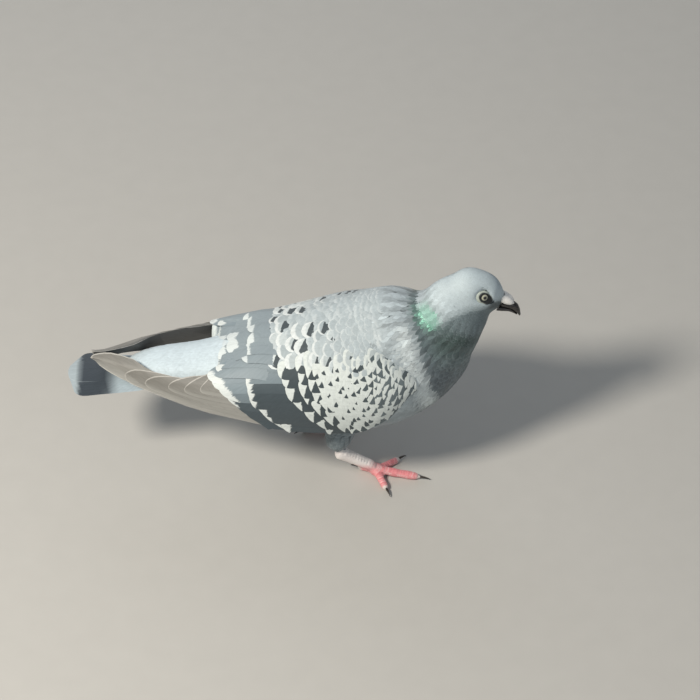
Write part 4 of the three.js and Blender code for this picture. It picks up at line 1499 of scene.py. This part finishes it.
def layShield(hand):
    d = shieldDesign
    rng = np.random.default_rng(71 + hand)
    tips, steps, spans, rows = shieldPlaces(charts[hand], rng)
    tips[:, 1] = tips[:, 1].clip(0.01, 0.98)
    count = len(tips)
    lengths = steps * d["length"] * rng.uniform(0.92, 1.08, count)
    roots = np.stack([tips[:, 0] + lengths, tips[:, 1] * 0.97 + 0.015], axis=1)
    half = spans * d["width"] / 2
    lifts = (d["lifts"][0], d["lifts"][1] + rng.normal(0, 0.04, count))
    x, share = tips.T
    shear = 0.7 * edgeSlope(charts[hand], d["edge"], share) * ease(12, 2, rows)
    pattern = wingPatterns["covert"]
    points = chartVanes(hand, pattern, roots, tips, d, half=(half, half), lifts=lifts, shear=shear)
    looks = plainLooks(count, np.tile(linear(d["white"]), (count, 1)))
    low = ease(0.34, 0.16, share)
    greyer = ease(34, 60, x) * rng.uniform(0.3, 1, count)
    looks["mark"] = blend(linear(d["slate"]), linear(d["midGrey"]), greyer)
    # each mark's length along the feather's lower edge, and how far it stops short of the tip
    size = np.maximum(track(d["markSizes"], rows), 6.5 * low) * rng.uniform(0.85, 1.2, count)
    odds = np.maximum(track(d["markOdds"], rows), low) * np.maximum(ease(0.88, 0.82, share), ease(40, 52, x))
    marked = rng.random(count) < odds
    height = np.minimum(size, 9) * 0.95 / half
    margin = track(d["margins"], rows) * rng.uniform(0.8, 1.3, count)
    looks["markEnd"] = np.where(marked, 1 - margin / lengths, -3.0)
    looks["markStart"] = np.where(marked, 1 - (margin + size) / lengths, 3.0)
    looks["markSlant"] = -np.minimum(size, 5) * 0.6 / lengths / height
    looks["markRise"] = np.where(rows == 0, 0.0, size * 0.4 / lengths / height)
    inner = ease(0.8, 0.86, share) * ease(-6, 4, x)
    looks["ground"] = blend(looks["ground"], linear(d["innerGrey"]), inner * 0.7)
    looks["fringeSize"] = np.where(inner > 0.3, 0.14, -1.0)
    places = freePlaces(np.stack([(x + 20) / 110, share], axis=1).clip(0, 0.999), 0.03)
    name = "shieldCoverts" + handEnds[hand]
    mesh = vaneMesh(name, pattern, points, looks, places, 0.03, flip=hand == left)
    addPiece(mesh, satinFeather, "wing_coverts")


level = backLevel()
for hand in hands:
    layPrimaries(hand)
    laySecondaries(hand)
    layTertials(hand, level)
    layGreaterCoverts(hand)
    layShield(hand)

# ---- tail

tailDesign = dict(
    pairs=6, rootX=-78, tipShort={left: 1.4, right: 0.8}, rootSide=0.9, tipSide=2.35, half=9.6,
    layer=0.24, camber=0.28, lift=0.9, bandFront=(-116, -126), bandRear=(-142.6, -145.4),
    base="#a9b7bd", dark="#3d454c", tip="#a9b5b9", edge="#c3ccd0", edged=1,
    rearHeight=75.6, climb=6.0, handStep=0.12,
)
tailRows = [0.03, 0.12, 0.24, 0.36, 0.46, 0.54, 0.6, 0.66, 0.73, 0.8, 0.855, 0.895, 0.93, 0.96, 0.985]
tailPattern = vanePattern(tailRows, roundTip(tailRows, 0.86, 2.2) * ease(-0.3, 0.35, np.array(tailRows)), 8)


def tailTop(x, y):
    # the fan's upper face: highest in the middle and drooping to its edges
    low, high = (np.array(corner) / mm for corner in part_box("tail"))
    share = np.clip((x - low[0]) / (high[0] - low[0]), 0, 1)
    droop = track([(0, 1.0), (0.33, 2.6), (0.75, 6.0), (1, 5.0)], share)
    return tailDesign["rearHeight"] + tailDesign["climb"] * share - droop * (y / 20) ** 2


def layTail():
    d = tailDesign
    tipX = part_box("tail")[0].x / mm
    alongVane, across, width = tailPattern["along"], tailPattern["across"], tailPattern["width"]
    points = []
    for pair in range(d["pairs"]):
        for hand in hands:
            tip = tipX + d["tipShort"][hand] * pair
            x = d["rootX"] + (tip - d["rootX"]) * alongVane
            atRoot, atTip = d["rootSide"] * (pair + 0.4), d["tipSide"] * (pair + 0.5)
            spine = hand * (atRoot * (1 - alongVane) + atTip * alongVane)
            y = spine + across * width * d["half"]
            z = tailTop(x, y) + d["lift"] - d["layer"] * pair - d["handStep"] * (hand == right)
            z = z + d["camber"] * (1 - across**2) * width
            points.append(np.stack([x, y + middleY, z], axis=1))
    points = np.array(points)
    x = points[..., 0]
    base, dark, tip = (linear(d[key]) for key in ("base", "dark", "tip"))
    colours = blend(np.broadcast_to(base, points.shape), dark, ease(*d["bandFront"], x))
    colours = blend(colours, tip, ease(*d["bandRear"], x))
    looks = plainLooks(len(points), np.tile(base, (len(points), 1)))
    looks["ground"] = colours
    looks["fringe"] = blend(colours, linear(d["edge"]), np.full(points.shape[:2], 0.22))
    looks["fringeSize"] = np.where(np.arange(len(points)) == d["edged"], 0.002, -1.0)
    places = cellPlaces(len(points), 4, 0.24)
    mesh = vaneMesh("tailFeathers", tailPattern, points, looks, places, 0.23, flip=True)
    addPiece(mesh, flightFeather, "tail_feathers", "tail")


layTail()

# ---- eyes and their lids

eyeDesign = dict(rings=26, turns=40, cornea=0.35, corneaReach=2.4, facesAhead=0.18, facesUp=0.45)


def eyeFrame(hand):
    d = eyeDesign
    out = unit(np.array([0, hand * 1.0, 0]) + headAhead * d["facesAhead"] + headUp * d["facesUp"])
    ahead = unit(headAhead - out * dot(headAhead, out))
    up = unit(headUp - out * dot(headUp, out) - ahead * dot(headUp, ahead))
    return out, ahead, up


def ringFaces(rings, turns, first=0):
    # the quads between rings of turns points each, from the point numbered first
    faces = []
    for r, j in itertools.product(range(rings - 1), range(turns)):
        a, b = first + r * turns + j, first + r * turns + (j + 1) % turns
        faces.append((a, a + turns, b + turns, b))
    return faces


def outwardFaces(hand, faces):
    return faces if hand == right else [face[::-1] for face in faces]


def addEye(hand):
    # a ball with its clear front bulging a little
    d = eyeDesign
    out, ahead, up = eyeFrame(hand)
    polar = math.pi * np.arange(1, d["rings"]) / d["rings"]
    turn = np.linspace(0, 2 * math.pi, d["turns"], endpoint=False)
    away, height = eyeRadius * np.sin(polar), eyeRadius * np.cos(polar)
    radial = np.where(height > 0, away / eyeRadius, 1.0)
    bulge = d["cornea"] * np.maximum(0, 1 - (away / d["corneaReach"]) ** 2)
    height = height + np.where(height > 0, bulge, 0)
    around = np.outer(np.cos(turn), ahead) + np.outer(np.sin(turn), up)
    rings = out * height[:, None, None] + around * away[:, None, None]
    points = np.concatenate([[out * (eyeRadius + d["cornea"])], rings.reshape(-1, 3), [-out * eyeRadius]])
    n, last = d["turns"], len(points) - 1
    faces = ringFaces(d["rings"] - 1, n, 1)
    for j in range(n):
        k = (j + 1) % n
        faces += [(0, 1 + j, 1 + k), (last, last - n + k, last - n + j)]
    points = points + eyePlaces[hand] - out * lidDesign["sunk"]
    mesh = meshFrom("eye" + handEnds[hand], points, outwardFaces(hand, faces))
    giveAttribute(mesh, "radial", np.concatenate([[0.0], np.repeat(radial, n), [1.0]]))
    addPiece(mesh, wetEye, "eye", "eye_" + handNames[hand])


lidDesign = dict(
    turns=56, rings=10, sunk=0.7, clearance=0.25, proud=0.75, lip=0.35, bulge=0.12,
    folds=0.07, foldTurns=26, tuckIn=0.35, tuckUnder=0.8, darkSkin="#23282a", paleSkin="#b2bab1",
    # by the angle round the eye from the bill's side, how far out each reaches: opening, dark skin, pale rim
    opening=[(0, 2.75), (90, 2.3), (180, 2.7), (270, 2.25), (360, 2.75)],
    dark=[
        (0, 6.4), (20, 4.8), (45, 3.5), (90, 3.1), (180, 4), (230, 3.5), (285, 3.9), (320, 6.4),
        (345, 8.6), (360, 6.4),
    ],
    outer=[
        (0, 7.4), (20, 6), (45, 4.7), (90, 4.1), (135, 4.9), (180, 5.8), (225, 5.4), (285, 5.2), (320, 6.8),
        (345, 8), (360, 7.4),
    ],
)


def addLids(hand):
    d = lidDesign
    out, ahead, up = eyeFrame(hand)
    turns = np.linspace(0, 360, d["turns"], endpoint=False)
    around = np.cos(np.radians(turns))[:, None] * ahead + np.sin(np.radians(turns))[:, None] * up
    opening, darkTo, outer = (track(d[key], turns) for key in ("opening", "dark", "outer"))

    def onBall(away):
        return np.sqrt(np.maximum((eyeRadius + d["clearance"]) ** 2 - away**2, 0)) - d["sunk"]

    def skinHeights(away):
        found = []
        for p in eyePlaces[hand] + around * away[:, None]:
            hit = skinSurface["tree"].ray_cast(Vector(p + out * 14), Vector(-out))[0]
            found.append(dot(np.array(hit) - p, out))
        found = np.array(found)
        for _ in range(4):
            found = (np.roll(found, 1) + found * 2 + np.roll(found, -1)) / 4
        return found

    rim = skinHeights(outer) + d["proud"]
    points, colours = [], []
    for ring in range(d["rings"]):
        share = ring / (d["rings"] - 1)
        away = opening + (outer - opening) * share
        folds = d["folds"] * math.sin(share * d["foldTurns"]) * math.sin(math.pi * share)
        height = onBall(opening) + (rim - onBall(opening)) * share + d["bulge"] * math.sin(math.pi * share)
        height = np.maximum(np.maximum(height, onBall(away)), skinHeights(away) + d["proud"]) + folds
        height = height + d["lip"] * math.exp(-(((share - 0.1) / 0.09) ** 2)) - d["tuckIn"] * (ring == 0)
        height = height - d["tuckUnder"] * (ring == d["rings"] - 1)
        points.append(eyePlaces[hand] + around * away[:, None] + out * height[:, None])
        colours.append(blend(linear(d["darkSkin"]), linear(d["paleSkin"]), ease(-0.2, 0.3, away - darkTo)))
    faces = outwardFaces(hand, ringFaces(d["rings"], d["turns"]))
    mesh = meshFrom("lids" + handEnds[hand], np.concatenate(points), faces)
    giveAttribute(mesh, "ground", np.concatenate(colours))
    addPiece(mesh, lidSkin, "head_plumage")


wetEye = eyeMaterial("wetEye")
lidSkin = lidMaterial("lidSkin")
for hand in hands:
    addEye(hand)
    addLids(hand)

# ---- bill, cere and claws: the plain solids, rounded off

billHorn = hornMaterial("billHorn", dark="#1b1a1b", pale="#4a4542", roughness=0.34)
clawHorn = hornMaterial("clawHorn", dark="#221f1d", pale="#54493f", roughness=0.38)
powderedSkin = chalkySkinMaterial("powderedCere")


clawWear = 0.76  # worn ends: each claw draws back to this share of its length
cereShape = dict(long=1.18, forward=0.3, tall=0.92, wide=0.8)


def shortenedClaws(points):
    roots = np.array([clawRoot(node) for node in clawNodes])
    own = roots[lengthOf(points[:, None] - roots).argmin(axis=1)]
    return own + (points - own) * clawWear


def slimmedCere(points):
    # its two lobes stand close together and reach further down the bill
    d, middle = cereShape, middleOf("cere") / mm
    offset = points - middle
    ahead, up = offset @ headAhead * d["long"] + d["forward"], offset @ headUp * d["tall"]
    side = offset[:, 1] * d["wide"]
    return middle + np.outer(ahead, headAhead) + np.outer(up, headUp) + np.outer(side, [0, 1, 0])


def clawRoot(node):
    # the thick end, where it leaves its toe
    toe = middleOf(node.replace("claw", "toe")) / mm
    points = nodeArrays(node)[0] / mm
    away = lengthOf(points - toe)
    return points[away < away.min() + 1.5].mean(axis=0)


hornDesign = {
    "billUpper": dict(nodes=["bill_upper"], voxel=0.3, rounds=5, grow=0.12, finish=billHorn, slot="bill_horn"),
    "billLower": dict(nodes=["bill_lower"], voxel=0.3, rounds=4, grow=0.12, finish=billHorn, slot="bill_horn"),
    "cereLobes": dict(
        nodes=["cere"], voxel=0.3, rounds=2, grow=0.3, finish=powderedSkin, slot="cere_skin", shaped=slimmedCere
    ),
    "claws": dict(
        nodes=clawNodes, voxel=0.25, rounds=3, grow=0.12, finish=clawHorn, slot="claw_horn",
        shaped=shortenedClaws,
    ),
}
for name, d in hornDesign.items():
    mesh = remeshed(name, d["nodes"], d["voxel"], d["grow"])
    points = relax(coordinates(mesh), edgesOf(mesh), np.full(len(mesh.vertices), 0.5), d["rounds"])
    setCoordinates(mesh, d["shaped"](points) if "shaped" in d else points)
    addPiece(mesh, d["finish"], d["slot"], *d["nodes"])
    print(name + ":", len(mesh.polygons), "faces")

# ---- scutes along the toes and up the front of the shanks

scuteDesign = dict(
    pitch=1.9, length=1.5, wrap=72, lift=0.16, bulge=0.14, shankPitch=2.3, shankWrap=62, shankFrom=0.12
)


def runOfNode(name):
    # a long node's two ends and how thick it is, from its own points
    points = nodeArrays(name)[0] / mm
    middle = points.mean(axis=0)
    along = np.linalg.svd(points - middle)[2][0]
    places = (points - middle) @ along
    ends = [points[places < places.min() + 2].mean(axis=0), points[places > places.max() - 2].mean(axis=0)]
    thick = np.sqrt(np.median(np.sum((points - middle - places[:, None] * along) ** 2, axis=1)))
    return ends, thick


def scuteRow(start, end, thick, facing, pitch, wrap):
    # overlapping plates on the side that facing points to
    d = scuteDesign
    length = lengthOf(end - start)
    along = (end - start) / length
    facing = unit(facing - along * dot(facing, along))
    across = np.cross(along, facing)
    pattern = coatPatterns["scute"]
    count = int(length / pitch) - 1
    at = (np.arange(count) + 0.4)[:, None] * pitch + pattern["along"] * pitch * d["length"]
    turn = np.radians(wrap) * pattern["across"] * pattern["width"]
    ring = np.cos(turn)[:, None] * facing + np.sin(turn)[:, None] * across
    flat = start + along * at[..., None] + ring * (thick + 1.2)
    spots, normals = restOn(skinSurface, flat)
    lift = d["lift"] * (0.4 + pattern["along"]) + d["bulge"] * (1 - pattern["across"] ** 2)
    return spots + normals * np.broadcast_to(lift, spots.shape[:2])[..., None]


def addScutes():
    d = scuteDesign
    rows = []
    for hand in hands:
        handName = handNames[hand]
        foot = middleOf("foot_" + handName) / mm
        for toe in toeNames:
            (a, b), thick = runOfNode(f"toe_{toe}_{handName}")
            start, end = (a, b) if lengthOf(a - foot) < lengthOf(b - foot) else (b, a)
            rows.append(scuteRow(start, end, thick, np.array([0, 0, 1.0]), d["pitch"], d["wrap"]))
        (a, b), thick = runOfNode("shank_" + handName)
        top, bottom = (a, b) if a[2] > b[2] else (b, a)
        top = top + (bottom - top) * d["shankFrom"]
        rows.append(scuteRow(top, bottom, thick, np.array([1.0, 0, 0.5]), d["shankPitch"], d["shankWrap"]))
    points = np.concatenate(rows)
    rng = np.random.default_rng(5)
    middles = points.mean(axis=1)
    ground = varied(legMarkings(middles), rng, 0.06)
    looks = plainLooks(len(points), ground)
    looks["fringe"] = blend(ground, linear("#efe4e0"), rng.uniform(0.0, 0.4, len(points)))
    looks["fringeSize"] = rng.uniform(0.0, 0.3, len(points))
    places = cellPlaces(len(points), 22, 0.044)
    mesh = vaneMesh("scutes", coatPatterns["scute"], points, looks, places, 0.043)
    addPiece(mesh, scuteKeratin, "leg_scales")


scuteKeratin = featherMaterial(
    "scuteKeratin", barbs=3, fringeSoftness=0.25, fringeReach=3.0, roughness=0.5, gloss=0.4, bump=0.3
)
addScutes()
